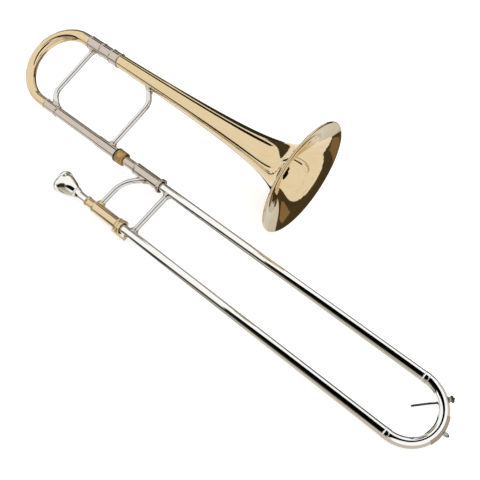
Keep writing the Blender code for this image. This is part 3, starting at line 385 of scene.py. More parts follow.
def buildConnector():
    connector = {"front": -39.0, "radius": 7.5, "ring": -55.5, "ringRise": 0.25, "collar": 9.0,
                 "collarFront": -82.0, "collarBack": -84.2, "end": -117.5, "nose": 7.1, "bore": 6.0,
                 "seat": -51.0}
    front, back, end, radius, collar, ring = pick(connector, "collarFront collarBack end radius collar ring")
    mouth, bore, seat, nose = pick(connector, "front bore seat nose")
    crest = radius + connector["ringRise"]
    profile = [
        (mouth, radius), (ring, radius), (ring - 0.3, crest), (ring - 1.3, crest), (ring - 1.6, radius),
        (front, radius), (front, collar), (back, collar), (back, radius), (back - 0.3, radius),
        (end, nose), (end, bore), (seat, bore), (seat, slide["socket"]), (mouth, slide["socket"]),
    ]
    addPiece("slideConnector", turned(profile), "inner_slide", "nickelSilver", "slide_connector",
             at=(0.0, slide["spacing"], 0.0), soft=0.12)


def saddleFlange(name, body, finish, node, footX, hostY, side, hostRadius, heading, straight=None):
    # an oval foot bent over the tube it stands on, with a collar round the brace's end
    # hostRadius is that tube's radius, a number or a function of the place along the slide
    foot = {"bore": 4.6, "collar": 5.4, "height": 3.6, "pad": 1.2, "halfWidth": 5.9, "margin": 2.9,
            "fillet": 0.9, "gap": 0.04}
    slant = abs(sin(heading))
    lean = cos(heading) / slant
    bore, collar, pad, halfWidth = pick(foot, "bore collar pad halfWidth")
    inner, outer, halfLength = bore / slant, collar / slant, bore / slant + foot["margin"]
    rings = [  # half length, half width, height over the tube, bent over the tube or level
        (inner, bore, foot["height"], False), (outer, collar, foot["height"], False),
        (outer, collar, pad + foot["fillet"], True), (outer + 0.35, collar + 0.1, pad + 0.3, True),
        (halfLength - 0.7, halfWidth - 0.25, pad, True), (halfLength, halfWidth, pad - 0.5, True),
        (halfLength, halfWidth, foot["gap"], True), (inner, bore, foot["gap"], True),
    ]
    radiusAt = hostRadius if callable(hostRadius) else lambda place: hostRadius
    crown = radiusAt(footX)
    bm = bmesh.new()
    loops = []
    for length, width, height, bentOver in rings:
        known = set(bm.edges)
        ring = bmesh.ops.create_circle(bm, segments=48, radius=1.0)["verts"]
        loops.append([edge for edge in bm.edges if edge not in known])
        for vert in ring:
            u, v = vert.co.x * length, vert.co.y * width
            w = sqrt((radiusAt(footX + u) + height) ** 2 - v * v) if bentOver else crown + height
            shift = lean * (w - crown) if height > pad else 0.0
            vert.co = (footX + u + shift, hostY + side * w, v)
    for one, other in zip(loops, loops[1:] + loops[:1]):
        bmesh.ops.bridge_loops(bm, edges=one + other)
    addPiece(name, bm, body, finish, node, straight=straight, crease=50)


def addBrace(kind, body, brace, heading, startY, endY, ends, straight=None):
    # a brace and its flanges; the ends, foot first, are the leg, its place across, its radius and a finish
    bend, angle, tail = pick(brace, "bend turn tail")
    side = copysign(1.0, angle)
    last = heading + angle
    turnFrom, turnTo = heading + side * pi / 2, last + side * pi / 2
    rise = bend * (sin(turnFrom) - sin(turnTo)) + tail * sin(last)
    run = (endY - startY - rise) / sin(heading)
    shift = run * cos(heading) + bend * (cos(turnFrom) - cos(turnTo)) + tail * cos(last)
    moves = [(run,), (bend, angle), (tail,)] if bend else [(run,)]
    name, node = kind + "Brace", kind + "_brace"
    bm = bent((brace["foot"], startY, 0.0), heading, slide["braceRadius"], moves, sides=36)
    addPiece(name, bm, body, metal("satinChrome"), node, straight=straight)
    places = ((brace["foot"], heading), (brace["foot"] + shift, last + pi))
    for (leg, across, radius, finish), (place, ahead) in zip(ends, places):
        saddleFlange(name + leg.title() + "Flange", body, finish, node + "_" + leg + "_flange", place, across,
                     1.0 if leg == "lower" else -1.0, radius, ahead, straight)


def buildHandBrace():
    brace = {"foot": -55.0, "bend": 45.0, "turn": radians(-50.0), "tail": 10.0}
    host = slide["barrelRadius"]
    ends = [("lower", 0.0, host, "lacqueredBrass"), ("upper", slide["spacing"], host, "nickelSilver")]
    addBrace("hand", "inner_slide", brace, radians(90), host, slide["spacing"] - host, ends)


def buildMouthpiece():
    cup = {
        "face": -134.5, "end": -58.5, "rim": 18.5, "crest": 15.4, "bowl": 12.4, "bowlStart": 2.0,
        "depth": 24.0, "throat": 3.2, "backbore": 4.6, "ring": 8.8, "ringPlace": 34.0, "waist": 8.1,
        "bell": 16.4, "bellStart": 6.4, "shankEnd": 5.4, "shankMouth": 6.0, "mouth": -76.5,
        "shoulder": -92.0, "bowlPower": 0.8,
    }
    face, waist, throat, end, ringRadius = pick(cup, "face waist throat end ring")
    ring = face + cup["ringPlace"]
    start, inside = ring - 0.6, face + cup["bowlStart"]
    profile = [
        (end, cup["shankEnd"]), (cup["mouth"], cup["shankMouth"]), (cup["shoulder"], 6.5), (ring + 4.2, 7.0),
        (ring + 2.9, 7.3), (ring + 2.4, 8.3), (ring + 1.6, ringRadius), (ring + 0.6, ringRadius), (ring, 8.3),
        (start, waist),
    ]
    for index in range(1, 13):  # the outside of the cup, a quarter of a sine wave
        share = index / 12
        profile.append((start - (start - face - cup["bellStart"]) * share,
                        waist + (cup["bell"] - waist) * sin(share * pi / 2)))
    profile += [(face + 5.8, 17.4), (face + 4.9, 18.2), (face + 3.4, cup["rim"]), (face + 1.9, 18.35),
                (face + 0.8, 17.7), (face + 0.15, 16.6), (face, cup["crest"]), (face + 0.25, 14.2),
                (face + 0.9, 13.2), (inside, cup["bowl"])]
    for index in range(1, 17):  # the bowl inside, down to the throat
        angle = index / 16 * pi / 2
        profile.append((inside + (cup["depth"] - cup["bowlStart"]) * sin(angle),
                        throat + (cup["bowl"] - throat) * cos(angle) ** cup["bowlPower"]))
    profile += [(face + cup["depth"] + 5.0, throat), (end, cup["backbore"])]
    addPiece("mouthpiece.silver", turned(profile, steps=96), "mouthpiece", "silverPlate", "mouthpiece",
             crease=50)


def buildLockNut():
    nut = {"front": -78.1, "back": -93.6, "radius": 11.2, "bore": 9.6, "lip": 3.6, "hole": 7.8, "groove": 0.5,
           "margin": 3.4, "rows": 22, "ridges": 44, "depth": 0.28}
    front, back, radius = pick(nut, "front back radius")
    lip = front - nut["lip"]
    zoneStart, zoneEnd, groove = back + nut["margin"], front - nut["margin"], radius - nut["groove"]
    profile = [(front, radius - 1.6), (front - 0.5, radius - 0.5), (front - 1.3, radius - 0.05),
               (front - 2.2, radius), (front - 2.6, groove), (front - 3.0, groove)]
    for index in range(nut["rows"] + 1):
        profile.append((zoneEnd - (zoneEnd - zoneStart) * index / nut["rows"], radius - 0.1))
    profile += [(back + 3.0, groove), (back + 2.6, groove), (back + 2.2, radius), (back + 1.0, radius),
                (back + 0.3, radius - 0.4), (back, radius - 1.2), (back, nut["bore"]), (lip, nut["bore"]),
                (lip, nut["hole"]), (front, nut["hole"])]
    bm = turned(profile, steps=nut["ridges"] * 4)
    for vert in bm.verts:  # diamond knurl
        reach = hypot(vert.co.y, vert.co.z)
        if zoneStart - 0.01 <= vert.co.x <= zoneEnd + 0.01 and reach > radius - 0.3:
            angle = atan2(vert.co.z, vert.co.y) * nut["ridges"]
            slope = (vert.co.x - zoneStart) * nut["ridges"] / radius
            rise = nut["depth"] * (cos(angle + slope) + cos(angle - slope) - 1.0) / 2
            vert.co.y *= 1 + rise / reach
            vert.co.z *= 1 + rise / reach
    addPiece("lockNut", bm, "lock_nut", "goldNut", "lock_nut", at=(0.0, slide["spacing"], 0.0), crease=60)


def buildSlideLock():
    lock = {"back": -10.5, "front": -4.8, "bore": 9.5, "ring": 10.9, "dip": 0.35, "root": -10.2,
            "inner": -11.9, "outer": -13.7, "hook": 13.2, "tip": 16.4, "hookEnd": -8.55, "width": 5.0,
            "angle": radians(-10.0), "throw": radians(32.0)}
    back, front, bore, ring, inner, outer = pick(lock, "back front bore ring inner outer")
    root, hook, tip, hookEnd, width = pick(lock, "root hook tip hookEnd width")
    waist = ring - lock["dip"]
    band = turned([
        (front, ring - 0.5), (front - 0.4, ring), (front - 1.2, ring), (front - 1.6, waist),
        (back + 1.6, waist), (back + 1.2, ring), (back + 0.4, ring), (back, ring - 0.5), (back, bore),
        (front, bore),
    ])
    outline = [
        (back, root), (front, root), (front, inner), (hook, inner), (hook, hookEnd), (tip, hookEnd),
        (tip, outer + 0.6), (tip - 1.8, outer), (back + 1.0, outer), (back, outer + 1.1),
    ]
    finger = bmesh.new()
    face = finger.faces.new([finger.verts.new((x, y, -width / 2)) for x, y in outline])
    raised = bmesh.ops.extrude_face_region(finger, geom=[face])["geom"]
    bmesh.ops.translate(finger, vec=(0, 0, width), verts=only(bmesh.types.BMVert, raised))
    bmesh.ops.recalc_face_normals(finger, faces=finger.faces)
    softenEdges(finger, 0.5, segments=3)
    addPiece("slideLock", gather([band, finger]), "slide_lock", "lacqueredBrass", "slide_lock",
             turn=Matrix.Rotation(lock["angle"], 4, "X"), crease=50)
    stud = {"place": 11.0, "top": 11.6, "radius": 1.9, "neck": 1.5, "foot": 3.4, "shoulder": 7.95,
            "sole": 6.99}
    top, radius, neck, foot, shoulder, sole = pick(stud, "top radius neck foot shoulder sole")
    profile = [(top, 0.0), (top, neck), (top - 0.4, radius), (top - 1.6, radius), (top - 2.2, neck),
               (shoulder + 0.5, neck), (shoulder, radius + 0.3), (shoulder - 0.3, foot), (sole, foot),
               (sole, 0.0)]
    upright = Matrix.Rotation(radians(-90), 4, "Z")
    around = Matrix.Rotation(lock["angle"] + lock["throw"], 4, "X") @ upright
    addPiece("slideLockStud", turned(profile, loop=False, steps=40), "hand_slide", "lacqueredBrass",
             "slide_lock_stud", at=(stud["place"], 0.0, 0.0), turn=around, crease=50)


def buildOuterSlide():
    brace = {"foot": 16.6, "gap": 0.1, "bend": 0.0, "turn": 0.0, "tail": 0.0}
    outer = slide["outerRadius"]
    for leg, height in legs:
        addPiece(leg + "OuterTube", pipe(-slide["entry"], slide["outerEnd"], outer, slide["outerBore"]),
                 "hand_slide", "brightChrome", leg + "_outer_tube", at=(0.0, height, 0.0))
    start, end = outer + brace["gap"], slide["spacing"] - outer - brace["gap"]
    ends = [(leg, height, outer, "nickelSilver") for leg, height in legs]
    addBrace("outer", "hand_slide", brace, radians(90), start, end, ends)


def buildBowFerrules():
    ferrule = {"back": 6.0, "front": 1.5, "bore": 7.25, "wall": 0.1, "bead": 0.22}
    start, end = slide["reach"] - ferrule["back"], slide["reach"] + ferrule["front"]
    outer = ferrule["bore"] + ferrule["wall"]
    crest = outer + ferrule["bead"]
    profile = [(end, ferrule["bore"]), (end, outer), (end - 0.35, crest), (end - 1.1, crest),
               (end - 1.5, outer), (start + 1.5, outer), (start + 1.1, crest), (start + 0.35, crest),
               (start, outer), (start, ferrule["bore"])]
    for leg, height in legs:
        addPiece(leg + "BowFerrule", turned(profile), "hand_slide", "brightChrome", leg + "_bow_ferrule",
                 at=(0.0, height, 0.0), soft=0.1)


def buildSlideBow():
    start = 452.8
    run = slide["reach"] - start
    bm = bent((start, 0.0, 0.0), 0.0, slide["outerRadius"], [(run,), (slide["bowRadius"], pi), (run,)],
              sides=56)
    addPiece("slideBow", bm, "hand_slide", "brightChrome", "slide_bow")


def buildBowGuard():
    guard = {"radius": 7.25, "thickness": 0.6, "half": radians(24.0), "wrap": radians(60.0)}
    centre = slide["bowRadius"]
    bm = bmesh.new()
    points = []
    for index in range(25):
        angle = guard["wrap"] * (index / 12 - 1)
        reach = centre + guard["radius"] * cos(angle)
        points.append(bm.verts.new((reach, 0.0, guard["radius"] * sin(angle))))
    edges = [bm.edges.new(pair) for pair in zip(points, points[1:])]
    bmesh.ops.rotate(bm, cent=(0, 0, 0), matrix=Matrix.Rotation(-guard["half"], 3, "Z"), verts=bm.verts)
    bmesh.ops.spin(bm, geom=points + edges, axis=(0, 0, 1), angle=2 * guard["half"], steps=24)
    bmesh.ops.recalc_face_normals(bm, faces=bm.faces)
    if sum((face.calc_center_median() - Vector((centre, 0, 0))).dot(face.normal) for face in bm.faces) < 0:
        bmesh.ops.reverse_faces(bm, faces=bm.faces)
    bmesh.ops.solidify(bm, geom=bm.faces, thickness=-guard["thickness"])
    addPiece("bowGuard", bm, "hand_slide", "nickelSilver", "bow_guard", at=(slide["reach"], centre, 0.0),
             soft=0.15)


def buildBumper():
    bumper = {"foot": 8.15, "length": 4.2, "radius": 2.8, "waist": 2.55, "bore": 2.1, "pocket": 3.0,
              "rubber": 1.8, "rubberRadius": 1.8}
    foot, radius, waist, bore, thick = pick(bumper, "foot radius waist bore rubberRadius")
    end = foot + bumper["length"]
    floor, tip = end - bumper["pocket"], end + bumper["rubber"]
    site = (slide["reach"] + slide["bowRadius"], slide["bowRadius"], 0.0)
    profile = [(floor, 0.0), (floor, bore), (end, bore), (end, radius), (end - 1.0, radius),
               (end - 1.3, waist), (end - 1.7, waist), (end - 2.0, radius), (foot + 0.6, radius),
               (foot, radius + 0.5), (foot, 0.0)]
    # painted reflection: the chrome holder is coloured mid grey for the dark reflection along its middle
    addPiece("bumperHolder", turned(profile, loop=False, steps=40), "hand_slide", "springSteelAndPaintedReflection",
             "bumper_holder", at=site, soft=0.12)
    profile = [(tip, 0.0), (tip, 1.0), (tip - 0.3, 1.5), (tip - 1.0, thick), (floor + 0.3, thick),
               (floor + 0.3, 0.0)]
    addPiece("rubberBumper", turned(profile, loop=False, steps=40), "hand_slide", rubber, "rubber_bumper",
             at=site)


def buildWaterKey():
    key = {"depth": 11.95, "hub": 1.9, "hubHalf": 4.9, "bore": 1.2, "wire": 1.2, "cup": 4.5, "cupBack": 13.05,
           "cupFront": 10.25, "pocket": 12.25, "pocketRadius": 3.7, "armBack": 13.65, "reach": 38.0}
    tubeCentre = (0.0, 0.0, key["depth"])
    nipple = [(9.35, 2.1), (9.35, 2.8), (9.0, 3.2), (7.9, 3.2), (7.3, 3.6), (6.9, 3.9), (6.6, 3.9),
              (6.6, 2.1)]
    addPiece("waterKeyNipple", turned(nipple, steps=40), "hand_slide", "nickelSilver", "water_key_nipple",
             at=tubeCentre, straight=keyFrame, soft=0.08)
    half, hubRadius, bore, depth, back = pick(key, "hubHalf hub bore depth armBack")
    hub = turned([(half, bore), (half, hubRadius - 0.2), (half - 0.3, hubRadius), (0.3 - half, hubRadius),
                  (-half, hubRadius - 0.2), (-half, bore)], steps=40)
    bmesh.ops.transform(hub, matrix=alongY, verts=hub.verts)
    reach = -key["reach"]
    path = [  # along the arm from the cup to the finger's end: x, z and width
        (back, depth + 1.2, 0.9), (back, depth - 2.0, 1.05), (back, depth - 4.5, 1.1), (12.8, 4.6, 1.05),
        (10.9, 1.4, 1.0), (5.4, 0.0, 1.1), (0.0, 0.0, 1.2), (-5.4, 0.0, 1.1), (-9.6, 2.2, 1.05),
        (-13.2, 5.0, 1.1), (reach * 0.6, 7.6, 1.1), (reach + 3.0, 9.4, 1.25), (reach - 0.6, 9.65, 1.0),
    ]
    widths = [width for _, _, width in path]
    arm = wire("keyArm", [(x, 0.0, z) for x, z, _ in path], key["wire"], widths, sides=16)
    back, front, radius, pocket = pick(key, "cupBack cupFront cup pocketRadius")
    cup = turned([(back, 0.0), (back, 2.0), (back - 0.15, 3.4), (back - 0.6, 4.2), (back - 1.4, radius),
                  (front + 0.2, radius), (front, radius - 0.2), (front, pocket), (key["pocket"], pocket),
                  (key["pocket"], 0.0)], loop=False, steps=48)
    bmesh.ops.translate(cup, vec=tubeCentre, verts=cup.verts)
    # painted reflection: the chrome lever, with its hub and cup, is coloured near black for the dark opening
    # that it mirrors
    addPiece("waterKeyLever", gather([hub, arm, cup]), "water_key", "darkSteelAndPaintedReflection", "water_key",
             straight=keyFrame, crease=50)
    pad = turned([(11.95, 0.0), (11.95, 3.4), (9.9, 3.4), (9.65, 3.1), (9.65, 0.0)], loop=False, steps=48)
    addPiece("waterKeyCork", pad, "water_key", cork, "water_key_cork", at=tubeCentre, straight=keyFrame)
    screw = [(8.5, 0.0), (8.5, 1.2), (8.2, 1.8), (7.3, 1.8), (7.3, 0.9), (-7.3, 0.9), (-7.3, 0.0)]
    addPiece("waterKeyScrew", turned(screw, loop=False, steps=36), "hand_slide", "springSteelAndPaintedReflection",
             "water_key_screw", turn=alongY, straight=keyFrame, soft=0.08)
    frame["nodes"]["water_key_saddle"].data.materials[0] = metal("nickelSilver")


def buildKeySpring():
    # a double coil; its bight lies on the arm
    spring = {"radius": 2.5, "wire": 0.3, "pitch": 1.15, "turns": 2, "inner": 2.1, "leg": 3.0, "bight": 5.5,
              "steps": 24, "fixed": -0.4, "held": 0.6}
    radius, inner, pitch, turns, bight = pick(spring, "radius inner pitch turns bight")
    half = [(spring["leg"], inner + pitch * turns, radius + 0.3)]
    for index in range(turns * spring["steps"] + 1):
        share = index / spring["steps"]
        angle = radians(90 + 360 * share)
        half.append((radius * cos(angle), inner + pitch * (turns - share), radius * sin(angle)))
    half.append((-bight, inner, radius))
    coil = wire("keySpring", half + [(x, -y, z) for x, y, z in reversed(half)], spring["wire"], sides=8,
                smooth=False)
    piece = addPiece("waterKeySpring", coil, None, "springSteelAndPaintedReflection", "water_key_spring", straight=keyFrame)
    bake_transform(piece)


bell = {
    "spacing": 124.4, "rimPlace": 173.4, "rimRadius": 89.0, "length": 371.0, "stem": 11.0, "power": 0.575,
    "wall": 0.5, "roll": 1.7, "joint": -235.9,
}
bell["throat"] = bell["stem"] - bell["wall"]
bell["mouth"] = bell["rimRadius"] - bell["roll"] * 1.2
bell["start"] = bell["length"] / ((bell["mouth"] / bell["throat"]) ** (1 / bell["power"]) - 1)


def flareRadius(place):
    distance = bell["rimPlace"] - place
    return bell["mouth"] * ((distance + bell["start"]) / bell["start"]) ** -bell["power"] + bell["wall"]


def addBellPiece(name, bm, finish, node, height=0.0, soft=0.08, body="bell_section"):
    return addPiece(name, bm, body, finish, node, at=(0.0, height, 0.0), straight=bellFrame, soft=soft)


def buildBell():
    edge = {"turn": radians(290), "rollSteps": 20, "stations": 96, "steps": 160}
    roll, slope = bell["roll"], atan(bell["power"] * bell["mouth"] / bell["start"])
    centre = (bell["rimPlace"] - roll * sin(slope), bell["mouth"] + roll * cos(slope))
    profile = []
    for index in range(edge["rollSteps"], 0, -1):  # the rim, rolled back round its wire
        angle = slope + edge["turn"] * index / edge["rollSteps"]
        profile.append((centre[0] + roll * sin(angle), centre[1] - roll * cos(angle)))
    for index in range(edge["stations"] + 1):
        place = bell["rimPlace"] - bell["length"] * (index / edge["stations"]) ** 2
        profile.append((place, flareRadius(place) - bell["wall"]))
    bm = turned(profile, loop=False, steps=edge["steps"])
    bmesh.ops.recalc_face_normals(bm, faces=bm.faces)
    low = min(bm.faces, key=lambda face: face.calc_center_median().x)
    middle = low.calc_center_median()
    if low.normal.dot(Vector((0.0, middle.y, middle.z))) < 0:
        bmesh.ops.reverse_faces(bm, faces=bm.faces)
    bmesh.ops.solidify(bm, geom=bm.faces, thickness=-bell["wall"])
    addPiece("bellFlare", bm, "bell_section", "lacqueredBrass", "bell", at=(0.0, bell["spacing"], 0.0),
             straight=bellFrame, crease=60)
    frame["nodes"]["bell_rim_wire"].data.materials[0] = metal("springSteelAndPaintedReflection")


def buildBellReceiver():
    receiver = {"nose": -84.5, "flange": -93.9, "back": -95.7, "end": -140.6, "radius": 8.9,
                "flangeRadius": 11.5, "thread": 9.3, "threadDepth": 0.4, "threadTurns": 7, "pitch": 1.2,
                "mouth": 7.8, "seat": 7.4, "seatFront": -117.8, "seatBack": -119.3, "socket": 8.4}
    nose, flange, back, end, radius, crest = pick(receiver, "nose flange back end radius thread")
    rim, seat, seatFront, seatBack, socket = pick(receiver, "flangeRadius seat seatFront seatBack socket")
    root = crest - receiver["threadDepth"]
    profile = [(nose, crest - 0.5)]
    for index in range(receiver["threadTurns"]):
        place = nose - (index + 1) * receiver["pitch"]
        profile += [(place, crest), (place - receiver["pitch"] / 2, root)]
    profile += [
        (flange, root), (flange, rim - 0.3), (flange - 0.3, rim), (back + 0.3, rim), (back, rim - 0.3),
        (back, radius + 0.5), (back - 0.8, radius), (end + 0.4, radius), (end, radius - 0.3),
        (end, socket), (seatBack, socket), (seatBack, seat), (seatFront, seat), (nose, receiver["mouth"]),
    ]
    piece = addBellPiece("bellReceiver", turned(profile), "nickelSilver", "bell_receiver")
    piece.data.materials.append(metal("darkSteelAndPaintedReflection", bellFrame))
    local = bellFrame.inverted()
    for face in piece.data.polygons:  # the flange is blackened
        if back - 0.1 < (local @ face.center).x < flange + 0.1:
            face.material_index = 1


def buildNeckPipe():
    neck = {"front": -119.6, "radius": 8.1, "bore": 7.6, "ring": 9.1, "ringLength": 2.2}
    front, radius, bore, ring = pick(neck, "front radius bore ring")
    back = bell["joint"]
    ringFront = back + neck["ringLength"]
    profile = [(front, radius), (ringFront + 0.5, radius), (ringFront - 0.2, ring - 0.2),
               (ringFront - 0.7, ring), (back + 0.6, ring), (back, ring - 0.5), (back, bore), (front, bore)]
    addBellPiece("neckPipe", turned(profile), "nickelSilver", "neckpipe")


def beadedSleeve(start, end, outer, bore, rise=0.55, frontBead=False):
    # a sleeve with a bead at its back end, and one at its front end where asked
    crest, low, high = outer + rise, outer + rise * 0.6, outer + rise * 0.8
    bead = [(2.4, outer), (1.8, high), (1.2, crest), (0.6, crest), (0.1, low), (0.0, outer)]
    front = [(end, outer - 0.25), (end - 0.3, outer)]
    if frontBead:
        front = [(end - inward, radius) for inward, radius in reversed(bead)]
    back = [(start + inward, radius) for inward, radius in bead]
    return turned(front + back + [(start, bore), (end, bore)])


def buildBellStem():
    sleeve = {"start": bell["joint"], "end": -197.9, "outer": 10.7, "bore": 10.1, "rise": 0.9}
    ferrule = {"start": -213.8, "end": -194.4, "outer": 11.8, "bore": 11.3}
    bm = beadedSleeve(*pick(sleeve, "start end outer bore rise"))
    addBellPiece("tuningSleeve", bm, "nickelSilver", "tuning_sleeve", bell["spacing"])
    bm = beadedSleeve(*pick(ferrule, "start end outer bore"), frontBead=True)
    addBellPiece("bellFerrule", bm, "nickelSilver", "bell_ferrule", bell["spacing"])


def buildFrontBrace():
    brace = {"foot": -113.8, "lean": radians(6.7), "bend": 22.0, "turn": radians(46.5), "tail": 16.0,
             "host": 8.9}
    heading = radians(90) - brace["lean"]
    host, spacing = brace["host"], bell["spacing"]
    end = spacing - flareRadius(brace["foot"] - brace["tail"] / 2)
    ends = [("lower", 0.0, host, "nickelSilver"), ("upper", spacing, flareRadius, "nickelSilver")]
    addBrace("front", "bell_section", brace, heading, host, end, ends, bellFrame)


def buildTuningBow():
    bow = {"end": -250.0, "centre": -276.1, "lower": 7.6, "upper": 10.2}
    radius = bell["spacing"] / 2
    run = bow["end"] - bow["centre"]
    total = 2 * run + pi * radius
    bm = bent((bow["end"], 0.0, 0.0), pi, bow["upper"], [(run,), (radius, -pi), (run,)], sides=56)
    for vert in bm.verts:  # the bow widens from the neckpipe's side to the bell's
        x, y = vert.co.x, vert.co.y
        if x > bow["centre"] - 0.001:
            lower = y < radius
            middle = Vector((x, 0.0 if lower else bell["spacing"], 0.0))
            along = bow["end"] - x if lower else total - (bow["end"] - x)
        else:
            angle = atan2(y - radius, x - bow["centre"]) % (2 * pi)
            middle = Vector((bow["centre"] + radius * cos(angle), radius + radius * sin(angle), 0.0))
            along = run + radius * (1.5 * pi - angle)
        width = (bow["lower"] + (bow["upper"] - bow["lower"]) * along / total) / bow["upper"]
        vert.co = middle + (vert.co - middle) * width
    addBellPiece("tuningBow", bm, "lacqueredBrass", "tuning_bow", soft=0.0, body="tuning_slide")


def buildTuningSlide():
    tuning = {"start": -263.5, "end": -236.5, "leg": -249.7, "wall": 0.5}
    # place across, radius and bore of the ferrule, radius and length of the leg
    sizes = {"lower": (0.0, 8.4, 7.9, 7.3, 75.0), "upper": (bell["spacing"], 11.0, 10.5, 9.8, 49.0)}
    for leg, (height, outer, socket, legRadius, length) in sizes.items():
        addBellPiece(leg + "TuningFerrule", beadedSleeve(tuning["start"], tuning["end"], outer, socket),
                     "nickelSilver", leg + "_tuning_ferrule", height, body="tuning_slide")
        bm = pipe(tuning["leg"], tuning["leg"] + length, legRadius, legRadius - tuning["wall"])
        addBellPiece(leg + "TuningLeg", bm, "nickelSilver", leg + "_tuning_leg", height, 0.1, "tuning_slide")
    brace = {"foot": -250.7, "lean": radians(7.1), "bend": 20.0, "turn": radians(57.1), "tail": 11.0}
    heading = radians(270) - brace["lean"]
    ends = [(leg, sizes[leg][0], sizes[leg][1], "nickelSilver") for leg in ("upper", "lower")]
    start, end = bell["spacing"] - sizes["upper"][1], sizes["lower"][1]
    addBrace("rear", "tuning_slide", brace, heading, start, end, ends, bellFrame)


buildBarrels()
buildInnerTubes()
buildReceiver()
buildConnector()
buildHandBrace()
buildMouthpiece()
buildLockNut()
buildSlideLock()
print("inner slide made")
buildOuterSlide()
buildBowFerrules()
buildSlideBow()
buildBowGuard()
buildBumper()
buildWaterKey()
buildKeySpring()
print("hand slide made")
buildBell()
buildBellReceiver()
buildNeckPipe()
buildBellStem()
buildFrontBrace()
buildTuningBow()
buildTuningSlide()
print("bell section made")


def mathNode(tree, operation, *values, **settings):
    inputs = dict(enumerate(values))
    return addNode(tree, "ShaderNodeMath", inputs, operation=operation, **settings).outputs[0]


def fade(tree, value, start, end):
    inputs = {"Value": value, "From Min": start, "From Max": end}
    return addNode(tree, "ShaderNodeMapRange", inputs, interpolation_type="SMOOTHSTEP").outputs["Result"]


def buildFloor():
    # a white sheet that keeps the instrument's shadow; the metal mirrors the tent in its place
    sheet = {"radius": 8.0, "pale": (0.86, 0.86, 0.86, 1.0), "rough": 0.9, "glow": 0.45}
    material, tree, shader = newMaterial("paleFloor")
    path = addNode(tree, "ShaderNodeLightPath", {}).outputs
    seen = mathNode(tree, "ADD", path["Is Camera Ray"], path["Is Glossy Ray"])
    seen = mathNode(tree, "ADD", seen, path["Is Transmission Ray"], use_clamp=True)
    plug(tree, shader, {
        "Base Color": sheet["pale"], "Roughness": sheet["rough"], "Specular IOR Level": 0.0,
        "Emission Color": (1.0, 1.0, 1.0, 1.0),
        "Emission Strength": mathNode(tree, "MULTIPLY", seen, sheet["glow"]),
    })
    bm = bmesh.new()
    bmesh.ops.create_circle(bm, cap_ends=True, segments=96, radius=sheet["radius"])
    floor = addObject("floor", bm, material)
    floor.visible_glossy = False


def stepRamp(tree, turn, limits):
    # an angle that changes with the azimuth, from pairs of degrees
    ramp = addNode(tree, "ShaderNodeValToRGB", {"Fac": turn})
    elements = ramp.color_ramp.elements
    while len(elements) < len(limits):
        elements.new(0.5)
    for element, (azimuth, angle) in zip(elements, limits):
        element.position = azimuth / 360
        element.color = (angle / 180, angle / 180, angle / 180, 1.0)
    return ramp.outputs["Color"]


# The tent's gaps: tone, upper edge and lower edge, as azimuth from the slide's direction and zenith angle
gaps = {
    "shade": (
        (0.78, 0.8, 0.8),
        [(20, 168), (30, 154), (60, 134), (72, 124), (80, 118), (112, 150), (116, 168)],
        [(20, 168), (116, 168)]),
    "room": (
        (0.075, 0.058, 0.032),
        [(0, 125), (15, 116), (30, 105), (45, 92), (60, 80), (68, 76), (74, 80), (80, 100), (349, 134),
         (360, 125)],
        [(0, 143), (15, 149), (30, 153), (45, 146), (60, 132), (68, 125), (76, 118), (80, 100), (349, 134),
         (360, 143)]),
    "curtain": ((0.25, 0.17, 0.09), [(6, 140), (14, 138), (24, 138), (32, 147)],
                [(6, 140), (14, 146), (26, 151), (32, 147)]),
    "doorway": ((0.3, 0.21, 0.11), [(36, 124), (42, 114), (50, 107), (57, 104), (62, 110)],
                [(36, 124), (42, 138), (50, 136), (58, 124), (62, 110)]),
    "seam": (
        (0.03, 0.03, 0.025),
        [(76, 104), (82, 96), (100, 96), (113, 92), (118, 80), (120, 64), (123, 66), (125, 80), (127, 104)],
        [(76, 104), (82, 150), (100, 150), (112, 132), (118, 122), (122, 127), (126, 122), (127, 104)]),
    "blob": ((0.015, 0.015, 0.014), [(122, 58), (126, 50), (130, 47), (141, 48), (146, 58)],
             [(122, 58), (126, 64), (133, 67), (141, 66), (146, 58)]),
    "sash": (
        (0.068, 0.06, 0.03),
        [(125, 92), (126, 79), (131, 75), (138, 71), (146, 68), (155, 66), (165, 67), (172, 72), (175, 76)],
        [(125, 92), (126, 109), (130, 108), (136, 101), (143, 93), (150, 87), (160, 81), (170, 78),
         (175, 76)]),
    "mullion": ((0.02, 0.02, 0.018), [(161, 108), (163, 101), (171, 86), (174, 86)],
                [(161, 108), (163, 108), (167, 103), (173, 90), (174, 86)]),
    "lap": (
        (0.02, 0.02, 0.02),
        [(138, 150), (142, 114), (150, 106), (160, 110), (170, 105), (180, 103), (186, 112), (188, 150)],
        [(138, 150), (142, 153), (184, 153), (188, 150)]),
    "sill": (
        (0.03, 0.028, 0.022),
        [(206, 86), (210, 83), (228, 83), (236, 80), (238, 66), (241, 40), (246, 18), (270, 18), (272, 40),
         (274, 55)],
        [(206, 86), (210, 88), (228, 91), (238, 96), (244, 106), (247, 90), (252, 78), (264, 60),
         (274, 55)]),
    "skirt": ((0.2, 0.18, 0.12), [(236, 120), (240, 108), (250, 106), (254, 115)],
              [(236, 120), (240, 138), (250, 130), (254, 115)]),
    "blind": ((0.4, 0.36, 0.3), [(250, 84), (252, 80), (264, 62), (280, 74)],
              [(250, 84), (252, 86), (272, 86), (280, 74)]),
    "slit": ((0.02, 0.02, 0.018), [(286, 79), (290, 76), (308, 76), (313, 79)],
             [(286, 79), (290, 82), (308, 82), (313, 79)]),
}


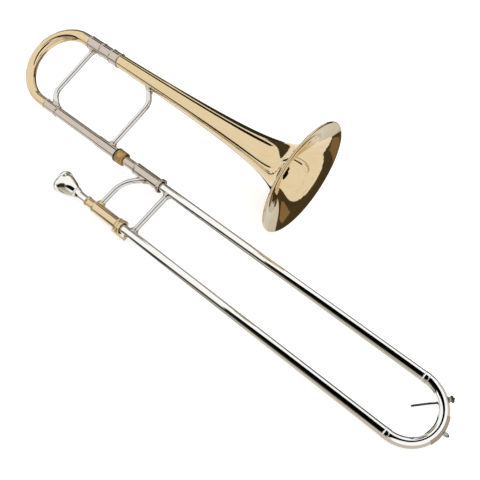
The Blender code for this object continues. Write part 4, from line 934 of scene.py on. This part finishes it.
def buildWorld():
    # a white tent all round the instrument; its gaps are what draws dark shapes and lines on the metal
    tent = {"white": (1.1, 1.1, 1.1), "beige": (0.64, 0.58, 0.49), "beigeFrom": (0.645, 0.69),
            "beigeTo": (0.80, 0.76), "beigeZenith": (0.14, 0.22), "blur": 0.003}
    world = bpy.data.worlds.new("tent")
    bpy.context.scene.world = world
    world.use_nodes = True
    tree = world.node_tree
    direction = inFrame(tree, slideFrame.to_quaternion().to_matrix().to_4x4(), (1.0, 1.0, 1.0), "Generated")
    axes = addNode(tree, "ShaderNodeSeparateXYZ", {0: direction}).outputs
    azimuth = mathNode(tree, "DIVIDE", mathNode(tree, "ARCTAN2", axes["Y"], axes["X"]), 2 * pi)
    turn = mathNode(tree, "FRACT", azimuth)
    zenith = mathNode(tree, "DIVIDE", mathNode(tree, "ARCCOSINE", axes["Z"]), pi)
    warm = fade(tree, turn, *tent["beigeFrom"])
    for value, limits in ((turn, tent["beigeTo"]), (zenith, tent["beigeZenith"])):
        warm = mathNode(tree, "MULTIPLY", warm, fade(tree, value, *limits))
    tone = mixNode(tree, warm, tent["white"], tent["beige"])
    for dark, top, foot in gaps.values():
        below = mathNode(tree, "SUBTRACT", zenith, stepRamp(tree, turn, top))
        above = mathNode(tree, "SUBTRACT", stepRamp(tree, turn, foot), zenith)
        sides = [fade(tree, side, -tent["blur"], tent["blur"]) for side in (below, above)]
        tone = mixNode(tree, mathNode(tree, "MULTIPLY", *sides), tone, dark)
    path = addNode(tree, "ShaderNodeLightPath", {}).outputs
    shown = mixNode(tree, path["Is Camera Ray"], tone, (1.0, 1.0, 1.0))
    tree.links.new(shown, tree.nodes["Background"].inputs["Color"])


def stageCard(name, bm, glow=(0.0, 0.0, 0.0)):
    # a card that only the metal shows
    material, tree, shader = newMaterial(name)
    plug(tree, shader, {"Base Color": (0.0, 0.0, 0.0, 1.0), "Specular IOR Level": 0.0,
                        "Emission Color": (*glow, 1.0), "Emission Strength": 1.0})
    card = addObject(name, bm, material)
    card.visible_camera = False
    card.visible_diffuse = False
    card.visible_shadow = False


def buildOpening():
    # the tent's dark opening over the table, where the camera looks in
    height = 780.0
    outline = [(-100, -600), (-50, -120), (135, 422), (340, 690), (520, 690), (520, -600)]
    bm = bmesh.new()
    bm.faces.new([bm.verts.new(slideFrame @ Vector((x, y, height))) for x, y in outline])
    stageCard("opening", bm)


def buildCollar():
    # a beige collar round the slide bow
    collar = {"from": -120.0, "to": 75.0, "steps": 24, "glow": (0.62, 0.56, 0.48)}
    edges = ((52.0, -15.0), (94.0, 30.0))  # radius and height of its inner and its outer edge
    bm = bmesh.new()
    rows = []
    for index in range(collar["steps"] + 1):
        angle = radians(collar["from"] + (collar["to"] - collar["from"]) * index / collar["steps"])
        rows.append([])
        for radius, height in edges:
            along = slide["reach"] + radius * cos(angle)
            across = slide["bowRadius"] + radius * sin(angle)
            rows[-1].append(bm.verts.new(slideFrame @ Vector((along, across, height))))
    for one, other in zip(rows, rows[1:]):
        bm.faces.new((one[0], one[1], other[1], other[0]))
    stageCard("beigeCollar", bm, collar["glow"])


def buildCamera():
    view = {"place": (446.67, -121.02, 777.61), "focal": 610.88, "width": 480, "sensor": 36.0,
            "right": (0.76138, 0.63724, -0.11923), "down": (0.54806, -0.73091, -0.40669),
            "ahead": (-0.34631, 0.24430, -0.90575)}
    data = bpy.data.cameras.new("camera")
    data.sensor_width = view["sensor"]
    data.lens = view["focal"] / view["width"] * view["sensor"]
    data.clip_start = 0.01
    camera = bpy.data.objects.new("camera", data)
    bpy.context.scene.collection.objects.link(camera)
    axes = [Vector(view["right"]), -Vector(view["down"]), -Vector(view["ahead"])]
    local = Matrix(axes).transposed().to_4x4()
    turn = slideFrame.to_quaternion().to_matrix().to_4x4()
    camera.matrix_world = Matrix.Translation(slideFrame @ Vector(view["place"])) @ turn @ local
    bpy.context.scene.camera = camera


buildFloor()
buildWorld()
buildOpening()
buildCollar()
buildCamera()
bpy.context.scene.view_settings.view_transform = "Standard"
print("studio made")
